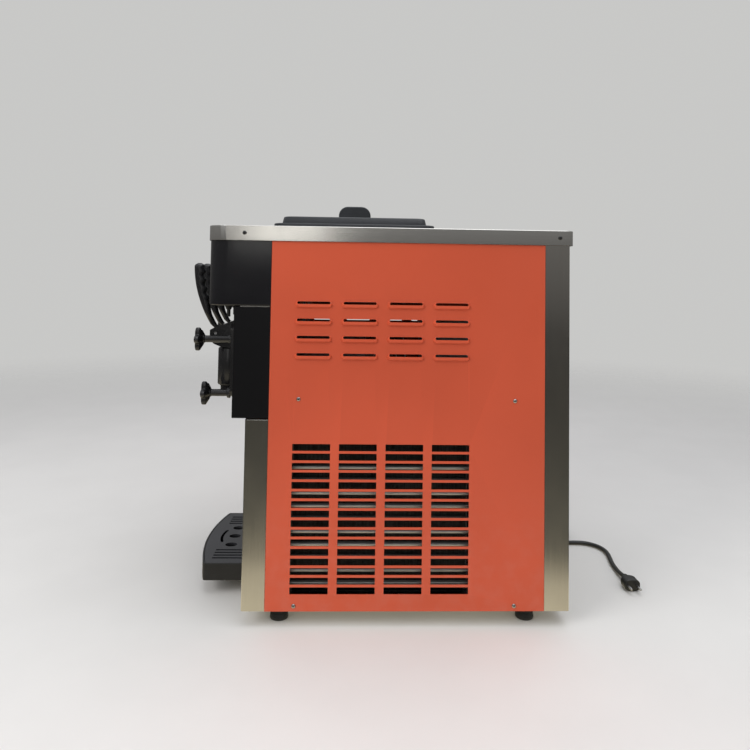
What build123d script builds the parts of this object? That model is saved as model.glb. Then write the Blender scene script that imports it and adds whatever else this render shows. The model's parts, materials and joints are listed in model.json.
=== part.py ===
from build123d import *

import os
from math import pi, radians, sqrt, tan

# Counter-top soft serve machine: two freezing cylinders side by side, three draw
# handles, two hoppers under lids, and an air-cooled refrigeration set in the cabinet.
# Frame: origin on the surface it stands on, under the middle of the machine,
# +Z up, the draw handles and drip tray towards -Y, the user's right hand towards +X.
# All sizes are in millimetres.

os.makedirs("parts", exist_ok=True)

# Overall cabinet
HALF_W = 267.0          # middle to the outer face of a side panel
FOOT_H = 30.0           # underside of the cabinet
PANEL_TOP = 730.6       # top edge of the side panels
RIM_BOTTOM = 731.0
DECK_TOP = 760.0
SHEET = 1.5             # sheet steel
GAP = 0.4               # assembly gap between sheet parts

# Depths, front (-Y) to back (+Y)
RIM_FRONT = -323.0
HEAD_FRONT = -321.0
HOUSING_FRONT = -270.0
LOWER_FRONT = -244.0
SIDE_FRONT = -199.0
SIDE_REAR = 333.6
REAR_FACE = 383.0
RIM_REAR = 393.0

# Heights of the black front boxes
LOWER_TOP = 388.0
HOUSING_BOTTOM = 391.0
HOUSING_TOP = 603.0
HEAD_BOTTOM = 605.0

# Rim and head
RIM_HALF_W = 270.0
FRONT_BOW = 12.0        # how far the front bows out in the middle
FRONT_R = 40.0
REAR_R = 22.0
CASE_WALL = 3.0         # moulded head cover
HOUSING_WALL = 2.0      # sheet box around the cylinders

# Vent openings in a side panel: four columns
COLUMNS = 4
COLUMN_Y0 = -116.5
COLUMN_PITCH = 89.2
VENT_W = 72.5
SLOT_ROWS = 16
SLOT_Z0 = 68.0
SLOT_PITCH = 17.9
SLOT_H = 13.3
LOUVRE_ROWS = 4
LOUVRE_Z0 = 509.2
LOUVRE_PITCH = 33.1
LOUVRE_H = 14.0
LOUVRE_OUT = 4.0

# Freezing cylinders and draw valves
AXIS_Z = 469.0          # height of the cylinder axes and of the stud pattern
CYL_X = 75.0            # half the distance between the cylinders
VALVE_XS = (75.0, 0.0, -75.0)
BARREL_R = 45.0
BARREL_WALL = 2.0
BARREL_FRONT = -267.6
BARREL_REAR = -12.0
JACKET_R = 68.0
SHAFT_R = 8.0
FIT = 0.05              # radial clearance of a running fit

# Faucet
PLATE_FRONT = -300.0
PLATE_BACK = -270.3
VALVE_Y = -312.0
VALVE_R = 14.0
BOSS_R = 19.0
BLOCK_HALF_W = 104.0
PIVOT_Y = -338.0
PIVOT_Z = 537.0
PIVOT_R = 4.0
STUD_X = 115.0
STUD_DZ = 57.0          # studs above and below the cylinder axes
STUD_R = 4.0

# Hoppers and lids
HOPPER_X = 116.0
HOPPER_Y = -41.0
TUB_W = 184.0
TUB_D = 290.0
TUB_DEPTH = 150.0
TUB_SHEET = 1.2
FEED_Y = -160.0
FEED_R = 11.0

# Drip tray
TRAY_HALF_W = 143.0
TRAY_BACK = -244.6
TRAY_SIDE_FRONT = -343.0
TRAY_APEX = -364.0
TRAY_TOP = 65.5

# Belt drive, in one plane behind the gear reducers
PULLEY_Y = 51.0
PULLEY_CORE = 18.0
PULLEY_FLANGE = 2.0
REDUCER_PULLEY_R = 55.0
MOTOR_PULLEY_R = 27.5
MOTOR_X = -110.0
MOTOR_Z = 140.0
BELT_GAP = 0.4
BELT_T = 3.0

# Condenser and fan
TUBE_X = 234.0
TUBE_R = 4.7
TUBE_ROWS = 10
TUBE_Z0 = 68.6
TUBE_PITCH = 24.6
FIN_FRONT = -155.0
FIN_REAR = 190.0
FAN_Y = 17.0
FAN_Z = 200.0

# Power cord
CORD_R = 5.0
CORD_X = -118.0
CORD_Z = 39.0
GLAND_END = 391.0
COIL_Y = 463.0
COIL_R = 55.0           # middle of the turns
COIL_CENTRE_X = CORD_X - COIL_R - CORD_R


def save(piece, name):
    """Label a finished piece and write it to its own STEP file."""
    piece.part.label = name
    export_step(piece.part, f"parts/{name}.step")


def facing_front(y):
    """Plane at depth y that faces the user: X to the right, Z up. Extrude < 0 goes back."""
    return Plane.XZ.offset(-y)


def bow_y(x, front, half_w):
    """Depth of the bowed front at x; it is `front` at the sides and FRONT_BOW further out in the middle."""
    radius = (half_w**2 + FRONT_BOW**2) / (2 * FRONT_BOW)
    return front - FRONT_BOW + radius - sqrt(radius**2 - x**2)


def bowed_outline(half_w, front, rear, front_r, rear_r):
    """Plan outline with a bowed front edge and rounded corners."""
    with BuildSketch() as outline:
        with BuildLine():
            ThreePointArc((-half_w, front), (0, front - FRONT_BOW), (half_w, front))
            Polyline((half_w, front), (half_w, rear), (-half_w, rear), (-half_w, front))
        make_face()
        fillet(outline.vertices().group_by(Axis.Y)[0], front_r)
        if rear_r:
            fillet(outline.vertices().group_by(Axis.Y)[-1], rear_r)
    return outline.sketch


def u_outline(front, rear, closed_front, corner_r, wall):
    """Plan outline of a U-shaped sheet panel as wide as the cabinet, open at the front or the back."""
    back_cut = rear + wall if closed_front else rear - wall
    front_cut = front + wall if closed_front else front - wall
    with BuildSketch() as outline:
        with Locations((0, (front + rear) / 2)):
            Rectangle(2 * HALF_W, rear - front)
        edge = 0 if closed_front else -1
        fillet(outline.vertices().group_by(Axis.Y)[edge], corner_r)
        with BuildSketch(mode=Mode.SUBTRACT) as hollow:
            with Locations((0, (front_cut + back_cut) / 2)):
                Rectangle(2 * (HALF_W - wall), back_cut - front_cut)
            fillet(hollow.vertices().group_by(Axis.Y)[edge], max(corner_r - wall, 0.5))
    return outline.sketch


# ---------------------------------------------------------------- cabinet

PAN_X = 263.0
PAN_FRONT = -241.0
PAN_REAR = 380.0
PAN_LIP = 22.0
POST = 25.0
POST_T = 2.5
POST_FRONT = -196.0
POST_REAR = 331.0
POST_TOP = 757.5
SHELF_Z = 392.0
BELT_SLOT_X = (-150.0, 112.0)
BELT_SLOT_Y = (49.2, 76.0)

with BuildPart() as base_frame:
    with BuildSketch(Plane.XY.offset(FOOT_H)):
        with Locations((0, (PAN_FRONT + PAN_REAR) / 2)):
            Rectangle(2 * PAN_X, PAN_REAR - PAN_FRONT)
    extrude(amount=PAN_LIP)
    with BuildSketch(Plane.XY.offset(FOOT_H + SHEET)):
        with Locations((0, (PAN_FRONT + PAN_REAR) / 2)):
            Rectangle(2 * (PAN_X - SHEET), PAN_REAR - PAN_FRONT - 2 * SHEET)
    extrude(amount=PAN_LIP, mode=Mode.SUBTRACT)
    with BuildSketch(Plane.XY.offset(FOOT_H + SHEET)):
        for sx, x_align in ((1, Align.MAX), (-1, Align.MIN)):
            for y, sy, y_align in ((POST_FRONT, 1, Align.MIN), (POST_REAR, -1, Align.MAX)):
                with Locations((sx * (PAN_X - SHEET), y)):
                    Rectangle(POST, POST, align=(x_align, y_align))
                with Locations((sx * (PAN_X - SHEET - POST_T), y + sy * POST_T)):
                    Rectangle(POST, POST, align=(x_align, y_align), mode=Mode.SUBTRACT)
    extrude(amount=POST_TOP - FOOT_H - SHEET)
    with BuildSketch(Plane.XY.offset(SHELF_Z)):
        with Locations((0, (POST_FRONT + POST_REAR) / 2)):
            Rectangle(2 * (PAN_X - SHEET), POST_REAR - POST_FRONT)
        with Locations((sum(BELT_SLOT_X) / 2, sum(BELT_SLOT_Y) / 2)):
            Rectangle(BELT_SLOT_X[1] - BELT_SLOT_X[0], BELT_SLOT_Y[1] - BELT_SLOT_Y[0],
                      mode=Mode.SUBTRACT)
    extrude(amount=SHEET)
save(base_frame, "base_frame")

GLAND_R = 8.0
FOLD_R = 5.0            # folded corners of the stainless front and rear panels
REAR_SLOT_W = 150.0
REAR_SLOT_H = 8.0
REAR_SLOT_PITCH = 20.0
REAR_SLOT_COLUMNS = 190.0
REAR_SLOT_BANDS = ((300.0, 12), (580.0, 8))     # middle height and rows of each band
SWITCH_GAP = 1.5
SWITCH_X = 190.0
SWITCH_Z = 90.0
ROCKER_W = 20.0
ROCKER_H = 28.0

with BuildPart() as front_lower_panel:
    with BuildSketch(Plane.XY.offset(FOOT_H)):
        add(u_outline(LOWER_FRONT, SIDE_FRONT - GAP, True, FOLD_R, SHEET))
    extrude(amount=LOWER_TOP - FOOT_H)
save(front_lower_panel, "front_lower_panel")

with BuildPart() as rear_panel:
    with BuildSketch(Plane.XY.offset(FOOT_H)):
        add(u_outline(SIDE_REAR + GAP, REAR_FACE, False, FOLD_R, SHEET))
    extrude(amount=PANEL_TOP - FOOT_H)
    with BuildSketch(facing_front(REAR_FACE)):
        for middle_z, rows in REAR_SLOT_BANDS:
            with Locations((0, middle_z)):
                with GridLocations(REAR_SLOT_COLUMNS, REAR_SLOT_PITCH, 2, rows):
                    SlotOverall(REAR_SLOT_W, REAR_SLOT_H)
        with Locations((SWITCH_X, SWITCH_Z)):
            Rectangle(ROCKER_W + 2 * SWITCH_GAP, ROCKER_H + 2 * SWITCH_GAP)
    extrude(amount=2 * SHEET, mode=Mode.SUBTRACT)
save(rear_panel, "rear_panel")

RETURN = 12.0           # inward fold along the front and back edges
RETURN_Z = (60.0, 725.0)
HOOD_TAPER = 38         # slope of a louvre hood outside, and less inside
HOOD_WALL = 1.2
HOOD_MOUTH_H = 5.0
SLOT_CORNER_R = 1.2

with BuildPart() as right_side_panel:
    with BuildSketch(Plane.YZ.offset(HALF_W - SHEET)):
        with Locations(((SIDE_FRONT + SIDE_REAR) / 2, (FOOT_H + PANEL_TOP) / 2)):
            Rectangle(SIDE_REAR - SIDE_FRONT, PANEL_TOP - FOOT_H)
    extrude(amount=SHEET)
    with BuildSketch(Plane.XY.offset(RETURN_Z[0])):
        for y, y_align in ((SIDE_FRONT, Align.MIN), (SIDE_REAR, Align.MAX)):
            with Locations((HALF_W - SHEET, y)):
                Rectangle(RETURN, SHEET, align=(Align.MAX, y_align))
    extrude(amount=RETURN_Z[1] - RETURN_Z[0])
    column_mid = COLUMN_Y0 + (COLUMNS - 1) * COLUMN_PITCH / 2
    louvre_mid = LOUVRE_Z0 + (LOUVRE_ROWS - 1) * LOUVRE_PITCH / 2
    # Pressed louvre hoods, hollow behind and open along their top edge
    with BuildSketch(Plane.YZ.offset(HALF_W)):
        with Locations((column_mid, louvre_mid)):
            with GridLocations(COLUMN_PITCH, LOUVRE_PITCH, COLUMNS, LOUVRE_ROWS):
                SlotOverall(VENT_W, LOUVRE_H)
    extrude(amount=LOUVRE_OUT, taper=HOOD_TAPER)
    with BuildSketch(Plane.YZ.offset(HALF_W - SHEET)):
        with Locations((column_mid, louvre_mid)):
            with GridLocations(COLUMN_PITCH, LOUVRE_PITCH, COLUMNS, LOUVRE_ROWS):
                SlotOverall(VENT_W - 2 * HOOD_WALL, LOUVRE_H - 2 * HOOD_WALL)
    extrude(amount=LOUVRE_OUT + GAP, taper=HOOD_TAPER - 5, mode=Mode.SUBTRACT)
    with BuildSketch(Plane.YZ.offset(HALF_W - SHEET)):
        with Locations((column_mid, louvre_mid + (LOUVRE_H - HOOD_MOUTH_H) / 2 - GAP)):
            with GridLocations(COLUMN_PITCH, LOUVRE_PITCH, COLUMNS, LOUVRE_ROWS):
                SlotOverall(VENT_W - 9, HOOD_MOUTH_H)
    extrude(amount=SHEET + LOUVRE_OUT, mode=Mode.SUBTRACT)
    # Plain slots in front of the condenser
    with BuildSketch(Plane.YZ.offset(HALF_W - SHEET)):
        with Locations((column_mid, SLOT_Z0 + (SLOT_ROWS - 1) * SLOT_PITCH / 2)):
            with GridLocations(COLUMN_PITCH, SLOT_PITCH, COLUMNS, SLOT_ROWS):
                RectangleRounded(VENT_W, SLOT_H, SLOT_CORNER_R)
    extrude(amount=SHEET, mode=Mode.SUBTRACT)
save(right_side_panel, "right_side_panel")

with BuildPart() as left_side_panel:
    mirror(right_side_panel.part, about=Plane.YZ)
save(left_side_panel, "left_side_panel")

HOPPER_CUT = 4.0        # how much wider than its tub each deck opening is
HOPPER_CUT_R = 26.0
RIM_EDGE_R = 1.4
HEAD_EDGE_R = 2.5

with BuildPart() as top_deck:
    with BuildSketch(Plane.XY.offset(RIM_BOTTOM)):
        add(bowed_outline(RIM_HALF_W, RIM_FRONT, RIM_REAR, FRONT_R, REAR_R))
    extrude(amount=DECK_TOP - RIM_BOTTOM)
    fillet(top_deck.faces().sort_by(Axis.Z)[-1].edges(), RIM_EDGE_R)
    with BuildSketch(Plane.XY.offset(RIM_BOTTOM)):
        add(bowed_outline(RIM_HALF_W - SHEET, RIM_FRONT + SHEET, RIM_REAR - SHEET,
                          FRONT_R - SHEET, REAR_R - SHEET))
    extrude(amount=DECK_TOP - RIM_BOTTOM - SHEET, mode=Mode.SUBTRACT)
    with BuildSketch(Plane.XY.offset(RIM_BOTTOM)):
        with Locations((HOPPER_X, HOPPER_Y), (-HOPPER_X, HOPPER_Y)):
            RectangleRounded(TUB_W + HOPPER_CUT, TUB_D + HOPPER_CUT, HOPPER_CUT_R)
    extrude(amount=DECK_TOP - RIM_BOTTOM, mode=Mode.SUBTRACT)
save(top_deck, "top_deck")

SWITCH_Y = -316.0       # draw switches hang under the head, above the valves
SWITCH_HOLE_R = 12.0

with BuildPart() as head_cover:
    with BuildSketch(Plane.XY.offset(HEAD_BOTTOM)):
        add(bowed_outline(HALF_W, HEAD_FRONT, SIDE_FRONT - GAP, FRONT_R, 0))
    extrude(amount=RIM_BOTTOM - GAP - HEAD_BOTTOM)
    fillet(head_cover.faces().sort_by(Axis.Z)[0].edges().sort_by(Axis.Y)[:-1], HEAD_EDGE_R)
    with BuildSketch(Plane.XY.offset(HEAD_BOTTOM + CASE_WALL)):
        add(bowed_outline(HALF_W - CASE_WALL, HEAD_FRONT + CASE_WALL, SIDE_FRONT + CASE_WALL,
                          FRONT_R - CASE_WALL, 0))
    extrude(amount=RIM_BOTTOM - HEAD_BOTTOM, mode=Mode.SUBTRACT)
    with BuildSketch(Plane.XY.offset(HEAD_BOTTOM)):
        with Locations(*[(x, SWITCH_Y) for x in VALVE_XS]):
            Circle(SWITCH_HOLE_R)
    extrude(amount=CASE_WALL, mode=Mode.SUBTRACT)
save(head_cover, "head_cover")

TOP_PLATE_Y = (-258.0, -201.0)

with BuildPart() as housing_top_plate:
    with BuildSketch(Plane.XY.offset(HOUSING_TOP + GAP / 2)):
        with Locations((0, sum(TOP_PLATE_Y) / 2)):
            Rectangle(2 * HALF_W - 1, TOP_PLATE_Y[1] - TOP_PLATE_Y[0])
    extrude(amount=HEAD_BOTTOM - HOUSING_TOP - GAP)
save(housing_top_plate, "housing_top_plate")

PANEL_HALF = 150.0      # control panel on the head
CONTROL_Z = (634.0, 706.0)
CONTROL_T = 1.6

with BuildPart() as control_panel:
    with BuildSketch(Plane.XY.offset(CONTROL_Z[0])):
        edge_y = bow_y(PANEL_HALF, HEAD_FRONT, HALF_W) - GAP
        mid_y = HEAD_FRONT - FRONT_BOW - GAP
        with BuildLine():
            ThreePointArc((-PANEL_HALF, edge_y), (0, mid_y), (PANEL_HALF, edge_y))
            Line((PANEL_HALF, edge_y), (PANEL_HALF, edge_y - CONTROL_T))
            ThreePointArc((PANEL_HALF, edge_y - CONTROL_T), (0, mid_y - CONTROL_T),
                          (-PANEL_HALF, edge_y - CONTROL_T))
            Line((-PANEL_HALF, edge_y - CONTROL_T), (-PANEL_HALF, edge_y))
        make_face()
    extrude(amount=CONTROL_Z[1] - CONTROL_Z[0])
save(control_panel, "control_panel")

ROCKER_BACK = REAR_FACE - 6.0
ROCKER_FACE = REAR_FACE + 2.0
ROCKER_TIP = REAR_FACE + 4.5
ROCKER_PIN_Y = REAR_FACE - 2.0
ROCKER_PIN_R = 2.0

with BuildPart() as power_switch:
    with BuildSketch(Plane.YZ.offset(SWITCH_X - ROCKER_W / 2)):
        with BuildLine():
            Polyline((ROCKER_BACK, SWITCH_Z - ROCKER_H / 2), (ROCKER_TIP, SWITCH_Z - ROCKER_H / 2),
                     (ROCKER_FACE, SWITCH_Z), (ROCKER_FACE, SWITCH_Z + ROCKER_H / 2),
                     (ROCKER_BACK, SWITCH_Z + ROCKER_H / 2), close=True)
        make_face()
    extrude(amount=ROCKER_W)
    # Trunnions that it rocks on
    with BuildSketch(Plane.YZ.offset(SWITCH_X - ROCKER_W / 2 - 1)):
        with Locations((ROCKER_PIN_Y, SWITCH_Z)):
            Circle(ROCKER_PIN_R)
    extrude(amount=ROCKER_W + 2)
save(power_switch, "power_switch")

HOUSING_R = 4.0
STUD_HOLE_R = STUD_R + 0.5

with BuildPart() as cylinder_housing:
    with BuildSketch(Plane.XY.offset(HOUSING_BOTTOM)):
        add(u_outline(HOUSING_FRONT, SIDE_FRONT - GAP, True, HOUSING_R, HOUSING_WALL))
    extrude(amount=HOUSING_TOP - HOUSING_BOTTOM)
    with BuildSketch(Plane.XY.offset(HOUSING_BOTTOM)):
        with Locations((0, (HOUSING_FRONT + SIDE_FRONT - GAP) / 2)):
            Rectangle(2 * (HALF_W - HOUSING_WALL), SIDE_FRONT - GAP - HOUSING_FRONT - 2 * HOUSING_WALL)
    extrude(amount=HOUSING_WALL)
    with BuildSketch(facing_front(HOUSING_FRONT)):
        with Locations((CYL_X, AXIS_Z), (-CYL_X, AXIS_Z)):
            Circle(BARREL_R)
        with Locations((0, AXIS_Z)):
            with GridLocations(2 * STUD_X, 2 * STUD_DZ, 2, 2):
                Circle(STUD_HOLE_R)
    extrude(amount=-2 * HOUSING_WALL, mode=Mode.SUBTRACT)
save(cylinder_housing, "cylinder_housing")

FOOT_X = 227.0
FOOT_YS = (-175.0, 306.0)
# Bottom, height and radius of the pad, the collar and the neck
FOOT_STEPS = ((0.0, 12.0, 18.0), (12.0, 6.0, 15.0), (18.0, FOOT_H - 18.1, 8.0))

with BuildPart() as leveling_feet:
    for z, height, r in FOOT_STEPS:
        with BuildSketch(Plane.XY.offset(z)):
            with Locations(*[(sx * FOOT_X, y) for sx in (1, -1) for y in FOOT_YS]):
                Circle(r)
        extrude(amount=height)
    fillet(leveling_feet.faces().sort_by(Axis.Z)[0:4].edges(), 1.5)
save(leveling_feet, "leveling_feet")

SCREW_HEAD_R = 4.0
SCREW_HEAD_H = 2.0

SIDE_SCREWS = ((-142.5, 428.0), (275.5, 428.0), (-144.5, 40.0), (275.5, 40.0))
RIM_SCREWS = ((-252.0, 745.5), (362.0, 745.5))
SCREW_TAPER = 20
SCREW_SEAT = 0.05       # a screw head stands this far off its panel
REAR_SCREWS_Z = 375.0
REAR_SCREW_GRID = (480.0, 640.0)

with BuildPart() as panel_screws:
    for plane, spots in (
        (Plane.YZ.offset(HALF_W + SCREW_SEAT), SIDE_SCREWS),
        (Plane.YZ.offset(RIM_HALF_W + SCREW_SEAT), RIM_SCREWS),
    ):
        for place in (plane, Plane(origin=(-plane.origin.X, 0, 0), x_dir=(0, -1, 0), z_dir=(-1, 0, 0))):
            flip = 1 if place.z_dir.X > 0 else -1
            with BuildSketch(place):
                with Locations(*[(flip * y, z) for y, z in spots]):
                    Circle(SCREW_HEAD_R)
            extrude(amount=SCREW_HEAD_H, taper=SCREW_TAPER)
    with BuildSketch(facing_front(REAR_FACE + SCREW_SEAT)):
        with Locations((0, REAR_SCREWS_Z)):
            with GridLocations(*REAR_SCREW_GRID, 2, 2):
                Circle(SCREW_HEAD_R)
    extrude(amount=-SCREW_HEAD_H, taper=SCREW_TAPER)
save(panel_screws, "panel_screws")

# ---------------------------------------------------------------- hoppers and lids

TUB_CORNER_R = 25.0
TUB_FLOOR_R = 18.0
TUB_FLANGE = 12.0
FEED_WALL = 4.0
FEED_END = AXIS_Z + BARREL_R + BARREL_WALL + 1

LID_X = (8.0, 225.0)
LID_Y = (-203.5, 122.0)
LID_Z = (761.7, 769.6)
PLATEAU_IN = 15.0
PLATEAU_TOP = 784.0
LID_WALL = 3.0
LID_R = 22.0
LID_EDGE_R = 3.0
PLATEAU_R = 16.0
PLATEAU_TAPER = 12
TAB_R = 17.0
TAB_HALF = 34.5
TAB_TOP = 815.5
TAB_T = 8.0

for side, sx in (("right", 1), ("left", -1)):
    with BuildPart() as tub_space:
        with BuildSketch(Plane.XY.offset(DECK_TOP + TUB_SHEET)):
            with Locations((sx * HOPPER_X, HOPPER_Y)):
                RectangleRounded(TUB_W - 2 * TUB_SHEET, TUB_D - 2 * TUB_SHEET, TUB_CORNER_R - TUB_SHEET)
        extrude(amount=-TUB_DEPTH)
        fillet(tub_space.faces().sort_by(Axis.Z)[0].edges(), TUB_FLOOR_R - TUB_SHEET)
        with BuildSketch(Plane.XY.offset(DECK_TOP)):
            with Locations((sx * CYL_X, FEED_Y)):
                Circle(FEED_R)
        extrude(amount=-(DECK_TOP - AXIS_Z))

    with BuildPart() as hopper:
        with BuildSketch(Plane.XY.offset(DECK_TOP)):
            with Locations((sx * HOPPER_X, HOPPER_Y)):
                RectangleRounded(TUB_W + 2 * TUB_FLANGE, TUB_D + 2 * TUB_FLANGE, TUB_CORNER_R + 5)
        extrude(amount=TUB_SHEET)
        with BuildSketch(Plane.XY.offset(DECK_TOP)):
            with Locations((sx * HOPPER_X, HOPPER_Y)):
                RectangleRounded(TUB_W, TUB_D, TUB_CORNER_R)
        extrude(amount=-TUB_DEPTH)
        fillet(hopper.faces().sort_by(Axis.Z)[0].edges(), TUB_FLOOR_R)
        with BuildSketch(Plane.XY.offset(DECK_TOP - TUB_DEPTH)):
            with Locations((sx * CYL_X, FEED_Y)):
                Circle(FEED_R + FEED_WALL)
        extrude(amount=-(DECK_TOP - TUB_DEPTH - FEED_END))
        add(tub_space.part, mode=Mode.SUBTRACT)
    save(hopper, f"hopper_{side}")

    with BuildPart() as hopper_lid:
        lid_x = sx * (LID_X[0] + LID_X[1]) / 2
        lid_y = (LID_Y[0] + LID_Y[1]) / 2
        lid_w = LID_X[1] - LID_X[0]
        lid_d = LID_Y[1] - LID_Y[0]
        with BuildSketch(Plane.XY.offset(LID_Z[0])):
            with Locations((lid_x, lid_y)):
                RectangleRounded(lid_w, lid_d, LID_R)
        extrude(amount=LID_Z[1] - LID_Z[0])
        fillet(hopper_lid.faces().sort_by(Axis.Z)[-1].edges(), LID_EDGE_R)
        with BuildSketch(Plane.XY.offset(LID_Z[1])):
            with Locations((lid_x, lid_y)):
                RectangleRounded(lid_w - 2 * PLATEAU_IN, lid_d - 2 * PLATEAU_IN, PLATEAU_R)
        extrude(amount=PLATEAU_TOP - LID_Z[1], taper=PLATEAU_TAPER)
        fillet(hopper_lid.faces().sort_by(Axis.Z)[-1].edges(), LID_EDGE_R - 0.5)
        with BuildSketch(Plane.XY.offset(LID_Z[0])):
            with Locations((lid_x, lid_y)):
                RectangleRounded(lid_w - 2 * PLATEAU_IN - 4 * LID_WALL,
                                 lid_d - 2 * PLATEAU_IN - 4 * LID_WALL, PLATEAU_R - 4)
        extrude(amount=PLATEAU_TOP - LID_Z[0] - LID_WALL, mode=Mode.SUBTRACT)
        with BuildSketch(Plane.YZ.offset(lid_x - TAB_T / 2)):
            with Locations((lid_y, (PLATEAU_TOP - 1 + TAB_TOP) / 2)):
                tab = Rectangle(2 * TAB_HALF, TAB_TOP - PLATEAU_TOP + 1)
            fillet(tab.vertices().group_by(Axis.Y)[-1], TAB_R)
        extrude(amount=TAB_T)
    save(hopper_lid, f"hopper_lid_{side}")

AIR_TUBE_Z = (600.0, 730.0)
AIR_TUBE_WALL = 3.1

with BuildPart() as air_tubes:
    with BuildSketch(Plane.XY.offset(AIR_TUBE_Z[0])):
        with Locations((CYL_X, FEED_Y), (-CYL_X, FEED_Y)):
            Circle(FEED_R - GAP)
            Circle(FEED_R - GAP - AIR_TUBE_WALL, mode=Mode.SUBTRACT)
    extrude(amount=AIR_TUBE_Z[1] - AIR_TUBE_Z[0])
save(air_tubes, "air_tubes")

# ---------------------------------------------------------------- freezing cylinders and drive

REDUCER_FRONT = BARREL_REAR + 0.5
REDUCER_L = 59.0
BEATER_FRONT = -262.0
BLADE_R = 40.0
BARREL_FLANGE = 12.0
BARREL_FLANGE_T = 5.0
BARREL_END_T = 4.0
SPIDER_T = 7.0          # width and thickness of a beater's cross arms
PULLEY_LIP = 5.0        # how far a pulley's flanges stand out of its core
REDUCER_W = 112.0
REDUCER_H = 116.0
REDUCER_DROP = 6.0
REDUCER_BASE_W = 130.0
REDUCER_BASE_H = 14.0
REST_GAP = 0.1          # a machine part stands this far off its shelf

with BuildPart() as freezing_cylinders:
    with BuildSketch(facing_front(BARREL_FRONT)):
        with Locations((CYL_X, AXIS_Z), (-CYL_X, AXIS_Z)):
            Circle(BARREL_R + BARREL_WALL)
    extrude(amount=-(BARREL_REAR - BARREL_FRONT))
    with BuildSketch(facing_front(BARREL_FRONT)):
        with Locations((CYL_X, AXIS_Z), (-CYL_X, AXIS_Z)):
            Circle(BARREL_R + BARREL_FLANGE)
    extrude(amount=-BARREL_FLANGE_T)
    with BuildSketch(facing_front(BARREL_FRONT)):
        with Locations((CYL_X, AXIS_Z), (-CYL_X, AXIS_Z)):
            Circle(BARREL_R)
    extrude(amount=-(BARREL_REAR - BARREL_FRONT - BARREL_END_T), mode=Mode.SUBTRACT)
    with BuildSketch(facing_front(BARREL_REAR - BARREL_END_T - 1)):
        with Locations((CYL_X, AXIS_Z), (-CYL_X, AXIS_Z)):
            Circle(SHAFT_R + FIT)
    extrude(amount=-(BARREL_END_T + 2), mode=Mode.SUBTRACT)
    with BuildSketch(Plane.XY.offset(AXIS_Z)):
        with Locations((CYL_X, FEED_Y), (-CYL_X, FEED_Y)):
            Circle(FEED_R)
    extrude(amount=BARREL_R + BARREL_FLANGE, mode=Mode.SUBTRACT)
save(freezing_cylinders, "freezing_cylinders")

with BuildPart() as cylinder_insulation:
    with BuildSketch(facing_front(BARREL_FRONT + BARREL_FLANGE_T + 1)):
        with Locations((CYL_X, AXIS_Z), (-CYL_X, AXIS_Z)):
            Circle(JACKET_R)
            Circle(BARREL_R + BARREL_WALL + GAP / 2, mode=Mode.SUBTRACT)
    extrude(amount=-(BARREL_REAR - BARREL_FRONT - BARREL_FLANGE_T - 3))
    with BuildSketch(Plane.XY.offset(AXIS_Z)):
        with Locations((CYL_X, FEED_Y), (-CYL_X, FEED_Y)):
            Circle(FEED_R + FEED_WALL + 1)
    extrude(amount=2 * JACKET_R, mode=Mode.SUBTRACT)
save(cylinder_insulation, "cylinder_insulation")

for side, x in (("right", CYL_X), ("left", -CYL_X)):
    with BuildPart() as beater:
        with BuildSketch(facing_front(BEATER_FRONT)):
            with Locations((x, AXIS_Z)):
                Circle(SHAFT_R)
        extrude(amount=-(REDUCER_FRONT + 20 - BEATER_FRONT))
        for y in (BEATER_FRONT + 4, (BEATER_FRONT + BARREL_REAR) / 2, BARREL_REAR - 16):
            with BuildSketch(facing_front(y)):
                with Locations((x, AXIS_Z)):
                    Circle(SHAFT_R + 5)
                    Rectangle(2 * BLADE_R, SPIDER_T)
                    Rectangle(SPIDER_T, 2 * BLADE_R)
            extrude(amount=-SPIDER_T)
        with BuildSketch(facing_front(BEATER_FRONT + 4)):
            with Locations((x, AXIS_Z)):
                with PolarLocations(BLADE_R, 4):
                    Rectangle(5, 9)
        extrude(amount=-(BARREL_REAR - 9 - BEATER_FRONT - 4))
    save(beater, f"beater_{side}")

    with BuildPart() as reducer_pulley:
        for y, width, r in (
            (PULLEY_Y, PULLEY_FLANGE, REDUCER_PULLEY_R + PULLEY_LIP),
            (PULLEY_Y + PULLEY_FLANGE, PULLEY_CORE, REDUCER_PULLEY_R),
            (PULLEY_Y + PULLEY_FLANGE + PULLEY_CORE, PULLEY_FLANGE, REDUCER_PULLEY_R + PULLEY_LIP),
        ):
            with BuildSketch(facing_front(y)):
                with Locations((x, AXIS_Z)):
                    Circle(r)
            extrude(amount=-width)
        with BuildSketch(facing_front(PULLEY_Y - 1)):
            with Locations((x, AXIS_Z)):
                with PolarLocations(33, 5):
                    Circle(11)
        extrude(amount=-30, mode=Mode.SUBTRACT)
        with BuildSketch(facing_front(PULLEY_Y - 20)):
            with Locations((x, AXIS_Z)):
                Circle(SHAFT_R)
        extrude(amount=-48)
    save(reducer_pulley, f"reducer_pulley_{side}")

with BuildPart() as gear_reducers:
    with BuildSketch(facing_front(REDUCER_FRONT)):
        with Locations((CYL_X, AXIS_Z - REDUCER_DROP), (-CYL_X, AXIS_Z - REDUCER_DROP)):
            RectangleRounded(REDUCER_W, REDUCER_H, 14)
    extrude(amount=-REDUCER_L)
    with BuildSketch(Plane.XY.offset(SHELF_Z + SHEET + REST_GAP)):
        with Locations((CYL_X, REDUCER_FRONT + REDUCER_L / 2), (-CYL_X, REDUCER_FRONT + REDUCER_L / 2)):
            Rectangle(REDUCER_BASE_W, REDUCER_L)
    extrude(amount=REDUCER_BASE_H)
    with BuildSketch(facing_front(REDUCER_FRONT - 1)):
        with Locations((CYL_X, AXIS_Z), (-CYL_X, AXIS_Z)):
            Circle(SHAFT_R + FIT)
    extrude(amount=-(REDUCER_L + 2), mode=Mode.SUBTRACT)
save(gear_reducers, "gear_reducers")

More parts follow.
